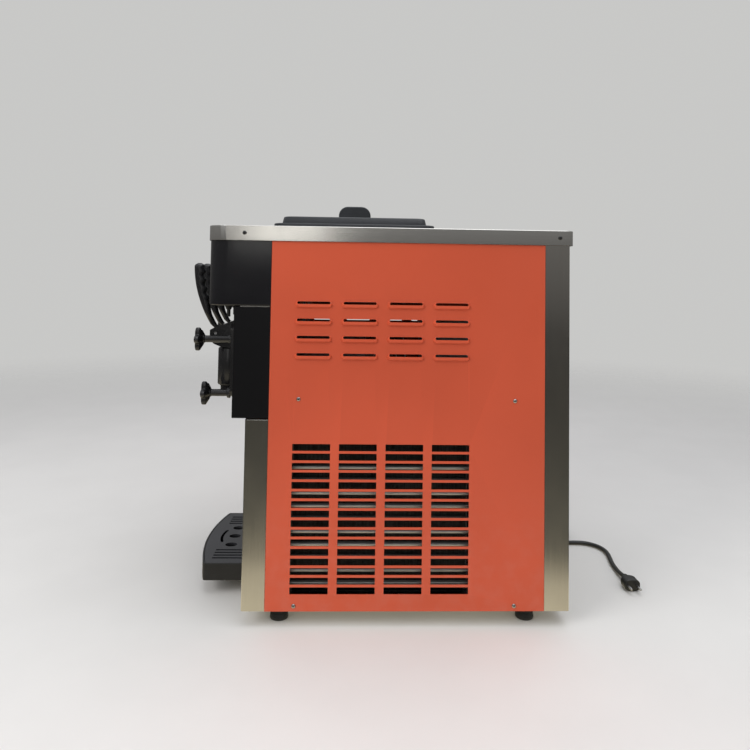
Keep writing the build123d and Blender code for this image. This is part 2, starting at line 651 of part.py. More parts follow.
MOTOR_R = 62.0
MOTOR_FRONT = -140.0
MOTOR_REAR = 36.0
MOTOR_FOOT = (110.0, 75.0, 110.0)       # width, height and length
MOTOR_BORE = 31.0

with BuildPart() as drive_motor:
    with BuildSketch(facing_front(MOTOR_FRONT)):
        with Locations((MOTOR_X, MOTOR_Z)):
            Circle(MOTOR_R)
    extrude(amount=-(MOTOR_REAR - MOTOR_FRONT))
    fillet(drive_motor.edges().filter_by(GeomType.CIRCLE), 6)
    with BuildSketch(facing_front(MOTOR_FRONT + 30)):
        with Locations((MOTOR_X, FOOT_H + SHEET + REST_GAP)):
            Rectangle(MOTOR_FOOT[0], MOTOR_FOOT[1], align=(Align.CENTER, Align.MIN))
    extrude(amount=-MOTOR_FOOT[2])
    with BuildSketch(facing_front(MOTOR_REAR + 1)):
        with Locations((MOTOR_X, MOTOR_Z)):
            Circle(SHAFT_R + FIT)
    extrude(amount=MOTOR_BORE + 1, mode=Mode.SUBTRACT)
save(drive_motor, "drive_motor")

with BuildPart() as motor_pulley:
    for y, width, r in (
        (PULLEY_Y, PULLEY_FLANGE, MOTOR_PULLEY_R + PULLEY_LIP),
        (PULLEY_Y + PULLEY_FLANGE, PULLEY_CORE, MOTOR_PULLEY_R),
        (PULLEY_Y + PULLEY_FLANGE + PULLEY_CORE, PULLEY_FLANGE, MOTOR_PULLEY_R + PULLEY_LIP),
        (MOTOR_REAR - MOTOR_BORE + 3, PULLEY_Y - MOTOR_REAR + 54, SHAFT_R),
    ):
        with BuildSketch(facing_front(y)):
            with Locations((MOTOR_X, MOTOR_Z)):
                Circle(r)
        extrude(amount=-width)
save(motor_pulley, "motor_pulley")


def belt_hull(extra):
    """Convex outline round the three pulleys, `extra` outside their cores."""
    with BuildSketch() as hull:
        with Locations((CYL_X, AXIS_Z), (-CYL_X, AXIS_Z)):
            Circle(REDUCER_PULLEY_R + extra)
        with Locations((MOTOR_X, MOTOR_Z)):
            Circle(MOTOR_PULLEY_R + extra)
        make_hull()
    return hull.sketch


with BuildPart() as drive_belt:
    with BuildSketch(facing_front(PULLEY_Y + PULLEY_FLANGE + 0.6)):
        add(belt_hull(BELT_GAP + BELT_T))
        add(belt_hull(BELT_GAP), mode=Mode.SUBTRACT)
    extrude(amount=-(PULLEY_CORE - 1.2))
save(drive_belt, "drive_belt")

# ---------------------------------------------------------------- refrigeration

COMPRESSOR_X = -130.0
COMPRESSOR_Y = 225.0
COMPRESSOR_R = 76.0
COMPRESSOR_Z = (46.0, 230.0)
COMPRESSOR_PLATE = (190.0, 150.0, 4.0)
COMPRESSOR_FEET = (164.0, 120.0)
COMPRESSOR_FOOT_R = 10.0

with BuildPart() as compressor:
    with BuildSketch(Plane.XY.offset(COMPRESSOR_Z[0])):
        with Locations((COMPRESSOR_X, COMPRESSOR_Y)):
            Circle(COMPRESSOR_R)
    extrude(amount=COMPRESSOR_Z[1] - COMPRESSOR_Z[0])
    fillet(compressor.edges().filter_by(GeomType.CIRCLE).sort_by(Axis.Z)[-1], 34)
    fillet(compressor.edges().filter_by(GeomType.CIRCLE).sort_by(Axis.Z)[0], 12)
    with BuildSketch(Plane.XY.offset(COMPRESSOR_Z[0] - 2)):
        with Locations((COMPRESSOR_X, COMPRESSOR_Y)):
            RectangleRounded(COMPRESSOR_PLATE[0], COMPRESSOR_PLATE[1], 20)
    extrude(amount=COMPRESSOR_PLATE[2])
    with BuildSketch(Plane.XY.offset(FOOT_H + SHEET + REST_GAP)):
        with Locations((COMPRESSOR_X, COMPRESSOR_Y)):
            with GridLocations(*COMPRESSOR_FEET, 2, 2):
                Circle(COMPRESSOR_FOOT_R)
    extrude(amount=COMPRESSOR_Z[0] - 1 - FOOT_H - SHEET - REST_GAP)
save(compressor, "compressor")

SHROUD_X = (150.0, 190.0)
SHROUD_Z = (FOOT_H + SHEET + REST_GAP, 350.0)
FIN_X = (190.4, 231.5)
FIN_Z = (56.0, 346.0)
TUBE_OVERHANG = 8.0     # straight ends of the tube rows outside the fins

with BuildPart() as condenser_fins:
    with BuildSketch(Plane.YZ.offset(FIN_X[0])):
        with Locations(((FIN_FRONT + FIN_REAR) / 2, (FIN_Z[0] + FIN_Z[1]) / 2)):
            Rectangle(FIN_REAR - FIN_FRONT, FIN_Z[1] - FIN_Z[0])
    extrude(amount=FIN_X[1] - FIN_X[0])
    with BuildSketch(facing_front(FIN_FRONT)):
        with Locations((TUBE_X, TUBE_Z0 + (TUBE_ROWS - 1) * TUBE_PITCH / 2)):
            with GridLocations(0, TUBE_PITCH, 1, TUBE_ROWS):
                Circle(TUBE_R + 0.3)
    extrude(amount=-(FIN_REAR - FIN_FRONT), mode=Mode.SUBTRACT)
save(condenser_fins, "condenser_fins")

with BuildPart() as condenser_tubes:
    ends = (FIN_REAR + TUBE_OVERHANG, FIN_FRONT - TUBE_OVERHANG)
    with BuildLine(Plane.YZ.offset(TUBE_X)) as serpentine:
        for row in range(TUBE_ROWS):
            z = TUBE_Z0 + (TUBE_ROWS - 1 - row) * TUBE_PITCH
            near, far = ends if row % 2 == 0 else ends[::-1]
            Line((near, z), (far, z))
            if row < TUBE_ROWS - 1:
                bulge = TUBE_PITCH / 2 * (1 if far > near else -1)
                ThreePointArc((far, z), (far + bulge, z - TUBE_PITCH / 2), (far, z - TUBE_PITCH))
    with BuildSketch(Plane(serpentine.line @ 0, x_dir=(1, 0, 0), z_dir=serpentine.line % 0)):
        Circle(TUBE_R)
    sweep()
save(condenser_tubes, "condenser_tubes")

FAN_OPENING_R = 124.0

with BuildPart() as fan_shroud:
    with BuildSketch(Plane.YZ.offset(SHROUD_X[0])):
        with Locations(((FIN_FRONT + FIN_REAR) / 2, sum(SHROUD_Z) / 2)):
            Rectangle(FIN_REAR - FIN_FRONT, SHROUD_Z[1] - SHROUD_Z[0])
    extrude(amount=SHROUD_X[1] - SHROUD_X[0])
    with BuildSketch(Plane.YZ.offset(SHROUD_X[0] + SHEET)):
        with Locations(((FIN_FRONT + FIN_REAR) / 2, sum(SHROUD_Z) / 2)):
            Rectangle(FIN_REAR - FIN_FRONT - 2 * SHEET, SHROUD_Z[1] - SHROUD_Z[0] - 2 * SHEET)
    extrude(amount=SHROUD_X[1] - SHROUD_X[0], mode=Mode.SUBTRACT)
    with BuildSketch(Plane.YZ.offset(SHROUD_X[0])):
        with Locations((FAN_Y, FAN_Z)):
            Circle(FAN_OPENING_R)
    extrude(amount=SHEET, mode=Mode.SUBTRACT)
save(fan_shroud, "fan_shroud")

FAN_SHAFT_R = 5.0
FAN_MOTOR_X = (72.0, 140.0)
FAN_MOTOR_R = 38.0
FAN_BRACKET = (18.0, 280.0)
FAN_X = 170.0           # middle of the blades
FAN_HUB_R = 24.0
FAN_HUB_L = 26.0
FAN_BLADES = 5
FAN_BLADE = (92.0, 52.0, 2.0)
FAN_BLADE_PITCH = 26

with BuildPart() as fan_motor:
    with BuildSketch(Plane.YZ.offset(FAN_MOTOR_X[0])):
        with Locations((FAN_Y, FAN_Z)):
            Circle(FAN_MOTOR_R)
    extrude(amount=FAN_MOTOR_X[1] - FAN_MOTOR_X[0])
    fillet(fan_motor.edges().filter_by(GeomType.CIRCLE), 5)
    with BuildSketch(Plane.YZ.offset(FAN_MOTOR_X[1] - 1)):
        with Locations((FAN_Y, FAN_Z)):
            Rectangle(*FAN_BRACKET)
    extrude(amount=SHROUD_X[0] - FAN_MOTOR_X[1] + 0.9)
    with BuildSketch(Plane.YZ.offset(FAN_MOTOR_X[1] - 30)):
        with Locations((FAN_Y, FAN_Z)):
            Circle(FAN_SHAFT_R + FIT)
    extrude(amount=50, mode=Mode.SUBTRACT)
save(fan_motor, "fan_motor")

with BuildPart(Plane(origin=(FAN_X, FAN_Y, FAN_Z), x_dir=(0, 1, 0), z_dir=(1, 0, 0))) as fan_blade:
    Cylinder(FAN_HUB_R, FAN_HUB_L)
    with PolarLocations(FAN_HUB_R + FAN_BLADE[0] / 2 - 4, FAN_BLADES):
        Box(*FAN_BLADE, rotation=(FAN_BLADE_PITCH, 0, 0))
    with Locations((0, 0, -35)):
        Cylinder(FAN_SHAFT_R, 50)
save(fan_blade, "fan_blade")

PIPE_R = 4.0
PIPE_BEND_R = 18.0
PIPE_X = COMPRESSOR_X + 20

with BuildPart() as refrigerant_pipes:
    top_row = TUBE_Z0 + (TUBE_ROWS - 1) * TUBE_PITCH
    with BuildLine() as pipe_run:
        FilletPolyline(
            (PIPE_X, COMPRESSOR_Y, COMPRESSOR_Z[1] + 0.3), (PIPE_X, COMPRESSOR_Y, 340),
            (195, 275, 330), (TUBE_X, 262, top_row), (TUBE_X, FIN_REAR + TUBE_OVERHANG + 0.3, top_row),
            radius=PIPE_BEND_R,
        )
    with BuildSketch(Plane(pipe_run.line @ 0, z_dir=pipe_run.line % 0)):
        Circle(PIPE_R)
    sweep()
save(refrigerant_pipes, "refrigerant_pipes")

BOX_AT = (-150.0, 215.0)
BOX = (170.0, 160.0, 150.0)
BOX_LID = (176.0, 166.0, 12.0)
BOX_R = 6.0

with BuildPart() as control_box:
    with BuildSketch(Plane.XY.offset(SHELF_Z + SHEET + REST_GAP)):
        with Locations(BOX_AT):
            RectangleRounded(BOX[0], BOX[1], BOX_R)
    extrude(amount=BOX[2])
    with BuildSketch(Plane.XY.offset(SHELF_Z + SHEET + REST_GAP + BOX[2])):
        with Locations(BOX_AT):
            RectangleRounded(BOX_LID[0], BOX_LID[1], BOX_R + 2)
    extrude(amount=BOX_LID[2])
save(control_box, "control_box")

# ---------------------------------------------------------------- faucet

PLATE_HALF_W = 131.0
PLATE_Z = (405.0, 560.0)
BLOCK_BOTTOM = 422.0
NOZZLE_END = 410.0
NOZZLE_WALL = 3.5
SLOT_HALF = 7.0
SLOT_FLOOR = 525.5
PLATE_R = 14.0
PASSAGE_R = 9.0
PASSAGE_Z = AXIS_Z - 30
BORE_GAP = 0.3

with BuildPart() as faucet_block:
    with BuildSketch(facing_front(PLATE_BACK)):
        with Locations((0, sum(PLATE_Z) / 2)):
            RectangleRounded(2 * PLATE_HALF_W, PLATE_Z[1] - PLATE_Z[0], PLATE_R)
    extrude(amount=PLATE_BACK - PLATE_FRONT)
    # Head of the block that carries the handles, its top sloping down to the front
    with BuildSketch(Plane.YZ.offset(-BLOCK_HALF_W)):
        with BuildLine():
            Polyline((PLATE_FRONT + 2, 505), (-326, 508), (-341, 514), (-350, 523), (-350, 544),
                     (-341, 549), (PLATE_FRONT + 2, 565), close=True)
        make_face()
    extrude(amount=2 * BLOCK_HALF_W)
    # Round valve bosses, webbed to the plate, and their outlets
    with BuildSketch(Plane.XY.offset(BLOCK_BOTTOM)):
        with Locations(*[(x, VALVE_Y) for x in VALVE_XS]):
            Circle(BOSS_R)
            Rectangle(2 * BOSS_R, 20, align=(Align.CENTER, Align.MIN))
    extrude(amount=90)
    with BuildSketch(Plane.XY.offset(NOZZLE_END)):
        with Locations(*[(x, VALVE_Y) for x in VALVE_XS]):
            Circle(VALVE_R + NOZZLE_WALL)
    extrude(amount=BLOCK_BOTTOM - NOZZLE_END)
    with BuildSketch(Plane.XY.offset(NOZZLE_END)):
        with Locations(*[(x, VALVE_Y) for x in VALVE_XS]):
            Circle(VALVE_R + BORE_GAP)
    extrude(amount=160, mode=Mode.SUBTRACT)
    # Open slots for the handles, and the cross hole for their pin
    with BuildSketch(Plane.XY.offset(SLOT_FLOOR)):
        with Locations(*[(x, VALVE_Y - 16) for x in VALVE_XS]):
            Rectangle(2 * SLOT_HALF, 60)
    extrude(amount=50, mode=Mode.SUBTRACT)
    with BuildSketch(Plane.YZ.offset(-BLOCK_HALF_W)):
        with Locations((PIVOT_Y, PIVOT_Z)):
            Circle(PIVOT_R + 0.02)
    extrude(amount=2 * BLOCK_HALF_W, mode=Mode.SUBTRACT)
    # Passages from the cylinders, and the stud holes
    with BuildSketch(facing_front(PLATE_BACK)):
        with Locations(*[(x, PASSAGE_Z) for x in VALVE_XS]):
            Circle(PASSAGE_R)
    extrude(amount=PLATE_BACK - VALVE_Y, mode=Mode.SUBTRACT)
    with BuildSketch(facing_front(PLATE_BACK)):
        with Locations((0, AXIS_Z)):
            with GridLocations(2 * STUD_X, 2 * STUD_DZ, 2, 2):
                Circle(STUD_HOLE_R)
    extrude(amount=PLATE_BACK - PLATE_FRONT, mode=Mode.SUBTRACT)
save(faucet_block, "faucet_block")

with BuildPart() as handle_pivot_rod:
    with BuildSketch(Plane.YZ.offset(-BLOCK_HALF_W - 1)):
        with Locations((PIVOT_Y, PIVOT_Z)):
            Circle(PIVOT_R)
    extrude(amount=2 * BLOCK_HALF_W + 2)
save(handle_pivot_rod, "handle_pivot_rod")

CAP_H = 8.0
CAP_GAP = 0.2

with BuildPart() as nozzle_caps:
    with BuildSketch(Plane.XY.offset(NOZZLE_END - CAP_H - CAP_GAP)):
        with Locations(*[(x, VALVE_Y) for x in VALVE_XS]):
            Circle(VALVE_R + NOZZLE_WALL)
            RegularPolygon(10, 3, mode=Mode.SUBTRACT)
            RegularPolygon(10, 3, rotation=180, mode=Mode.SUBTRACT)
        with Locations((0, PLATE_FRONT - GAP)):
            Rectangle(2 * PLATE_HALF_W, 40, align=(Align.CENTER, Align.MIN), mode=Mode.SUBTRACT)
    extrude(amount=CAP_H)
save(nozzle_caps, "nozzle_caps")

HOOK_BOTTOM = 544.2
HOOK_TOP = 556.0
HOOK_BACK = 7.0
VALVE_BOTTOM = 424.0
VALVE_TOP = 521.0
GROOVE_H = 3.5
NOSE_R = 4.8
PIVOT_BOSS_R = 9.5
ARM_HALF = 6.0
GRIP_HALF = 10.0
SWITCH_TIP_Z = 571.5
SWITCH_TIP_R = 4.0
SWITCH_TIP_L = 20.0
SWITCH_CONE_Z = 587.0
SWITCH_BODY_Z = 600.0
SWITCH_BODY_R = 11.0
SWITCH_BODY_L = 14.0

for where, x in zip(("right", "centre", "left"), VALVE_XS):
    with BuildPart() as draw_valve:
        with BuildSketch(Plane.XY.offset(VALVE_BOTTOM)):
            with Locations((x, VALVE_Y)):
                Circle(VALVE_R)
        extrude(amount=HOOK_TOP - VALVE_BOTTOM)
        # Window for the nose of the handle, open to the front
        with BuildSketch(Plane.YZ.offset(x - VALVE_R - 1)):
            with BuildLine():
                Polyline((VALVE_Y - VALVE_R - 1, VALVE_TOP), (VALVE_Y + HOOK_BACK, VALVE_TOP),
                         (VALVE_Y + HOOK_BACK, HOOK_BOTTOM), (VALVE_Y - VALVE_R - 1, HOOK_BOTTOM),
                         close=True)
            make_face()
        extrude(amount=2 * VALVE_R + 2, mode=Mode.SUBTRACT)
        chamfer(draw_valve.edges().filter_by(GeomType.CIRCLE).sort_by(Axis.Z)[0], 3)
        # Seal grooves
        for z in (VALVE_BOTTOM + 14, VALVE_BOTTOM + 70):
            with BuildSketch(Plane.XY.offset(z)):
                with Locations((x, VALVE_Y)):
                    Circle(VALVE_R)
                    Circle(VALVE_R - 2, mode=Mode.SUBTRACT)
            extrude(amount=GROOVE_H, mode=Mode.SUBTRACT)
    save(draw_valve, f"draw_valve_{where}")

    with BuildPart() as draw_handle:
        # Grip with finger waves down its back edge
        with BuildSketch(Plane.YZ.offset(x - GRIP_HALF)):
            with BuildLine():
                Spline((-362.5, 568), (-372, 588), (-381, 612), (-388.5, 645), (-393, 680))
                Spline((-393, 680), (-388, 688.5), (-380, 688.5), (-373, 682),
                       tangents=((0, 1), (0.3, -1)))
                Spline((-373, 682), (-371, 674), (-373.5, 664), (-369.5, 655), (-372, 645),
                       (-367, 636), (-368.5, 626), (-362.5, 617), (-363.5, 607), (-356.5, 596),
                       (-346.5, 571))
                Line((-346.5, 571), (-362.5, 568))
            make_face()
        extrude(amount=2 * GRIP_HALF)
        # Neck, pivot boss and the arm with its round nose
        with BuildSketch(Plane.YZ.offset(x - ARM_HALF)):
            with BuildLine():
                Polyline((-366, 582), (-352, 580), (-343, 560), (-337, 546.5), (-330, 538), (-344, 538),
                         (-352, 551), close=True)
            make_face()
            with Locations((PIVOT_Y, PIVOT_Z)):
                Circle(PIVOT_BOSS_R)
            with Locations((VALVE_Y, PIVOT_Z + 1)):
                Circle(NOSE_R)
            with BuildLine():
                Polyline((PIVOT_Y, PIVOT_Z + 6), (VALVE_Y, PIVOT_Z + 4), (VALVE_Y, PIVOT_Z - 2),
                         (PIVOT_Y, PIVOT_Z - 5), close=True)
            make_face()
            with Locations((PIVOT_Y, PIVOT_Z)):
                Circle(PIVOT_R + FIT, mode=Mode.SUBTRACT)
        extrude(amount=2 * ARM_HALF)
    save(draw_handle, f"draw_handle_{where}")

    with BuildPart() as draw_switch:
        with BuildSketch(Plane.XY.offset(SWITCH_TIP_Z)):
            with Locations((x, SWITCH_Y)):
                Circle(SWITCH_TIP_R)
        extrude(amount=SWITCH_TIP_L)
        with BuildSketch(Plane.XY.offset(SWITCH_CONE_Z)):
            with Locations((x, SWITCH_Y)):
                Circle(SWITCH_TIP_R + 1)
        with BuildSketch(Plane.XY.offset(SWITCH_BODY_Z)):
            with Locations((x, SWITCH_Y)):
                Circle(SWITCH_BODY_R)
        loft()
        with BuildSketch(Plane.XY.offset(SWITCH_BODY_Z)):
            with Locations((x, SWITCH_Y)):
                Circle(SWITCH_BODY_R)
        extrude(amount=SWITCH_BODY_L)
    save(draw_switch, f"draw_switch_{where}")

STUD_SPANS = ((-261.8, 5.5, 8.0), (-266.0, 74.0, STUD_R))     # rear end, length and radius

with BuildPart() as faucet_studs:
    for y, length, r in STUD_SPANS:
        with BuildSketch(facing_front(y)):
            with Locations((0, AXIS_Z)):
                with GridLocations(2 * STUD_X, 2 * STUD_DZ, 2, 2):
                    Circle(r)
        extrude(amount=length)
save(faucet_studs, "faucet_studs")

KNOB_R = 25.5
KNOB_T = 20.0
KNOB_LOBES = 5
LOBE_R = 7.5
SLEEVE_R = 7.4
COLLAR_R = 9.6
COLLAR_T = 6.0
KNOB_BORE = 45.0
KNOB_LEVELS = (("upper", AXIS_Z + STUD_DZ, -380.0), ("lower", AXIS_Z - STUD_DZ, -365.0))

for level, z, knob_front in KNOB_LEVELS:
    for side, sx in (("right", 1), ("left", -1)):
        with BuildPart() as star_knob:
            with BuildSketch(facing_front(knob_front + KNOB_T)):
                with Locations((sx * STUD_X, z)):
                    Circle(KNOB_R - 1.2 * LOBE_R)
                    with PolarLocations(KNOB_R - LOBE_R, KNOB_LOBES):
                        Circle(LOBE_R)
            extrude(amount=KNOB_T, taper=8)
            with BuildSketch(facing_front(knob_front + KNOB_T - 1)):
                with Locations((sx * STUD_X, z)):
                    Circle(SLEEVE_R)
            extrude(amount=-(PLATE_FRONT - knob_front - KNOB_T + 0.7))
            with BuildSketch(facing_front(PLATE_FRONT - 0.3)):
                with Locations((sx * STUD_X, z)):
                    Circle(COLLAR_R)
            extrude(amount=COLLAR_T)
            with BuildSketch(facing_front(PLATE_FRONT)):
                with Locations((sx * STUD_X, z)):
                    Circle(STUD_R + FIT)
            extrude(amount=KNOB_BORE, mode=Mode.SUBTRACT)
        save(star_knob, f"star_knob_{level}_{side}")

# ---------------------------------------------------------------- drip tray


def tray_outline(inset):
    """D-shaped plan outline with straight sides and an arched front edge."""
    half = TRAY_HALF_W - inset
    side = TRAY_SIDE_FRONT + inset
    with BuildSketch() as outline:
        with BuildLine():
            ThreePointArc((-half, side), (0, TRAY_APEX + inset), (half, side))
            Polyline((half, side), (half, TRAY_BACK - inset), (-half, TRAY_BACK - inset), (-half, side))
        make_face()
        fillet(outline.vertices(), TRAY_R)
    return outline.sketch


TRAY_R = 6.0
TRAY_BOTTOM = 30.5
TRAY_WALL = 3.0
TRAY_LEDGE = 3.0
GRILLE_Z = 57.5
GRILLE_T = 5.0
GRILLE_GAP = 0.6
GRILLE_SLOT = (5.5, 76.0)
GRILLE_SLOT_X0 = 84.0
GRILLE_SLOT_PITCH = 13.0
DRAIN_EYES = ((48, -286), (0, -292), (-48, -286))
DRAIN_EYE_R = (11.0, 15.0)

with BuildPart() as drip_tray:
    with BuildSketch(Plane.XY.offset(TRAY_BOTTOM)):
        add(tray_outline(0))
    extrude(amount=TRAY_TOP - TRAY_BOTTOM)
    with BuildSketch(Plane.XY.offset(TRAY_BOTTOM + TRAY_WALL)):
        add(tray_outline(TRAY_WALL + TRAY_LEDGE))
    extrude(amount=TRAY_TOP, mode=Mode.SUBTRACT)
    with BuildSketch(Plane.XY.offset(GRILLE_Z - 0.5)):
        add(tray_outline(TRAY_WALL))
    extrude(amount=TRAY_TOP, mode=Mode.SUBTRACT)
save(drip_tray, "drip_tray")

with BuildPart() as tray_grille:
    with BuildSketch(Plane.XY.offset(GRILLE_Z)):
        add(tray_outline(TRAY_WALL + GRILLE_GAP))
        for sx in (1, -1):
            for k in range(4):
                with Locations((sx * (GRILLE_SLOT_X0 + GRILLE_SLOT_PITCH * k), TRAY_BACK - 12)):
                    Rectangle(GRILLE_SLOT[0], GRILLE_SLOT[1] - 2.5 * k, align=(Align.CENTER, Align.MAX),
                              mode=Mode.SUBTRACT)
        with Locations(*DRAIN_EYES):
            Ellipse(*DRAIN_EYE_R, mode=Mode.SUBTRACT)
        with BuildLine() as smile:
            ThreePointArc((-30, -325), (0, -331), (30, -325))
        offset(smile.line, amount=3.2, mode=Mode.SUBTRACT)
    extrude(amount=GRILLE_T)
save(tray_grille, "tray_grille")

# ---------------------------------------------------------------- power cord

# Exit, drop to the coil's upper turns
CORD_IN = [
    (CORD_X, GLAND_END, CORD_Z), (CORD_X, 409, CORD_Z), (CORD_X, 444, 3 * CORD_R),
    (CORD_X, COIL_Y, 3 * CORD_R),
]
# From the coil's lower turn along the surface to the plug
CORD_OUT = [
    (CORD_X, COIL_Y, CORD_R), (-111.5, 492, CORD_R), (-116, 520, CORD_R), (-112.9, 549.8, CORD_R),
    (-94.4, 573.4, CORD_R), (-66.2, 583.7, CORD_R), (-34.4, 579.8, CORD_R), (0.7, 571.7, CORD_R),
    (36.5, 568, CORD_R + 0.5), (64, 566.4, 8.5), (88, 566, 12.5),
]


def bend_radii(points):
    """Radius at each inner point: as large as the two runs beside it allow."""
    radii = []
    for a, b, c in zip(points, points[1:], points[2:]):
        before, after = Vector(b) - Vector(a), Vector(c) - Vector(b)
        turn = radians(before.get_angle(after))
        radii.append(0.45 * min(before.length, after.length) / tan(turn / 2))
    return radii


with BuildPart() as cord_gland:
    with BuildSketch(facing_front(REAR_FACE + 0.1)):
        with Locations((CORD_X, CORD_Z)):
            Circle(GLAND_R)
    extrude(amount=-(GLAND_END - REAR_FACE - 0.1), taper=8)
save(cord_gland, "cord_gland")

with BuildPart() as power_cord:
    run_length = 0.0
    for route in (CORD_IN, CORD_OUT):
        radii = bend_radii(route)
        print("bend radii", [round(r, 1) for r in radii])
        with BuildLine() as run:
            FilletPolyline(*route, radius=radii)
        with BuildSketch(Plane(run.line @ 0, z_dir=run.line % 0)):
            Circle(CORD_R)
        sweep(path=run.line)
        run_length += run.wire().length
    print("cord runs", round(run_length, 1), "mm, volume / (section x length)",
          round(power_cord.part.volume / (pi * CORD_R**2 * run_length), 4))
save(power_cord, "power_cord")

with BuildPart() as cord_coil:
    with BuildSketch():
        with Locations((COIL_CENTRE_X, COIL_Y)):
            Circle(COIL_R + 2 * CORD_R)
            Circle(COIL_R - 2 * CORD_R, mode=Mode.SUBTRACT)
    extrude(amount=4 * CORD_R)
save(cord_coil, "cord_coil")

PLUG_X = 88.0
PLUG_Y = 566.0
PLUG_L = 40.0
PLUG_W = 34.0
PLUG_H = 25.0
PLUG_NECK_L = 16.0
PLUG_R = 8.0
PIN_PITCH = 19.0
PIN_R = 2.4
PIN_L = 19.0

with BuildPart() as power_plug:
    with BuildSketch(Plane.YZ.offset(PLUG_X)):
        with Locations((PLUG_Y, PLUG_H / 2)):
            RectangleRounded(16, 14, PLUG_R / 2)
    with BuildSketch(Plane.YZ.offset(PLUG_X + PLUG_NECK_L)):
        with Locations((PLUG_Y, PLUG_H / 2)):
            RectangleRounded(PLUG_W, PLUG_H, PLUG_R)
    loft()
    with BuildSketch(Plane.YZ.offset(PLUG_X + PLUG_NECK_L)):
        with Locations((PLUG_Y, PLUG_H / 2)):
            RectangleRounded(PLUG_W, PLUG_H, PLUG_R)
    extrude(amount=PLUG_L - PLUG_NECK_L)
    with BuildSketch(Plane.YZ.offset(PLUG_X + PLUG_L)):
        with Locations((PLUG_Y, PLUG_H / 2)):
            with GridLocations(PIN_PITCH, 0, 2, 1):
                Circle(PIN_R)
    extrude(amount=PIN_L)
save(power_plug, "power_plug")
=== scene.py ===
import json
from math import asin, atan2, cos, pi, radians, sin, tau

import bmesh
import bpy
from mathutils import Matrix, Vector

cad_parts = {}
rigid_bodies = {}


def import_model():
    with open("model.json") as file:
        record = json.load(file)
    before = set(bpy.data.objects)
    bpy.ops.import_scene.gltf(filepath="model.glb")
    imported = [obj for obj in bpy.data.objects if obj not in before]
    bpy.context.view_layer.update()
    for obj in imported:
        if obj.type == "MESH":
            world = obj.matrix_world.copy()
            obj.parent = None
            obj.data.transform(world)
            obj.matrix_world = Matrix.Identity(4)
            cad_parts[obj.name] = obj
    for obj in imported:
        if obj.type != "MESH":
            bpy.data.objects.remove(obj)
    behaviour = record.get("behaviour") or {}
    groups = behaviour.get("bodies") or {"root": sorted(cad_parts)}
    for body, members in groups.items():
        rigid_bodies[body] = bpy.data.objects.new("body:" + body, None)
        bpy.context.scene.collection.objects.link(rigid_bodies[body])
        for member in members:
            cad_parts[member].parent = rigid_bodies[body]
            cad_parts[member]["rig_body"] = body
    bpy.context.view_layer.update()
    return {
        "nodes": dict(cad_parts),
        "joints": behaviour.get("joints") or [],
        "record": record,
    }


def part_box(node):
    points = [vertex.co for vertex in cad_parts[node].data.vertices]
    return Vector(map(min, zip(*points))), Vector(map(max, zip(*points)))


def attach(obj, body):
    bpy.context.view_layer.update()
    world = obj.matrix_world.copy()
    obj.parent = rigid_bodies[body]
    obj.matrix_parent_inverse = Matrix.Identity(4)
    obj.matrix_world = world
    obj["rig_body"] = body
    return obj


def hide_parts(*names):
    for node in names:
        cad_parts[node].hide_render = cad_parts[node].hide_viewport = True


bl_info = {
    "name": "Soft Serve Machine",
    "version": (1, 0, 0),
    "blender": (4, 5, 0),
    "location": "View3D > Sidebar > Soft Serve",
    "description": "Builds the skins, trim, cord and studio of a counter-top soft serve machine",
    "category": "Add Mesh",
}

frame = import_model()
record = frame["record"]
SLOT_OF = {part["node"]: part["material_slot"] for part in record["subparts"]}
MM = 0.001
# Turns that point local Z one way
TO_RIGHT = Matrix.Rotation(radians(90), 4, "Y")
TO_LEFT = Matrix.Rotation(radians(-90), 4, "Y")
TO_REAR = Matrix.Rotation(radians(-90), 4, "X")
TO_FRONT = Matrix.Rotation(radians(90), 4, "X")


# ---------------------------------------------------------------- shader writing


class Num:
    """A shader number. Arithmetic on it adds Math nodes to its material."""

    def __init__(self, paint, socket):
        self.paint = paint
        self.socket = socket

    def math(self, operation, *values):
        node = self.paint.node("ShaderNodeMath", {"operation": operation}, dict(enumerate(values)))
        return Num(self.paint, node.outputs[0])

    def __add__(self, other):
        return self.math("ADD", self, other)

    def __radd__(self, other):
        return self.math("ADD", other, self)

    def __sub__(self, other):
        return self.math("SUBTRACT", self, other)

    def __rsub__(self, other):
        return self.math("SUBTRACT", other, self)

    def __mul__(self, other):
        return self.math("MULTIPLY", self, other)

    def __rmul__(self, other):
        return self.math("MULTIPLY", other, self)

    def over(self, low, high):
        """0 below low, 1 above high, smooth between."""
        node = self.paint.node(
            "ShaderNodeMapRange",
            {"interpolation_type": "SMOOTHSTEP"},
            {"Value": self, "From Min": low, "From Max": high},
        )
        return Num(self.paint, node.outputs["Result"])


def fill(links, socket, value):
    """Links a socket to another, or gives it a value of its own."""
    if isinstance(value, bpy.types.NodeSocket):
        links.new(value, socket)
    else:
        socket.default_value = value


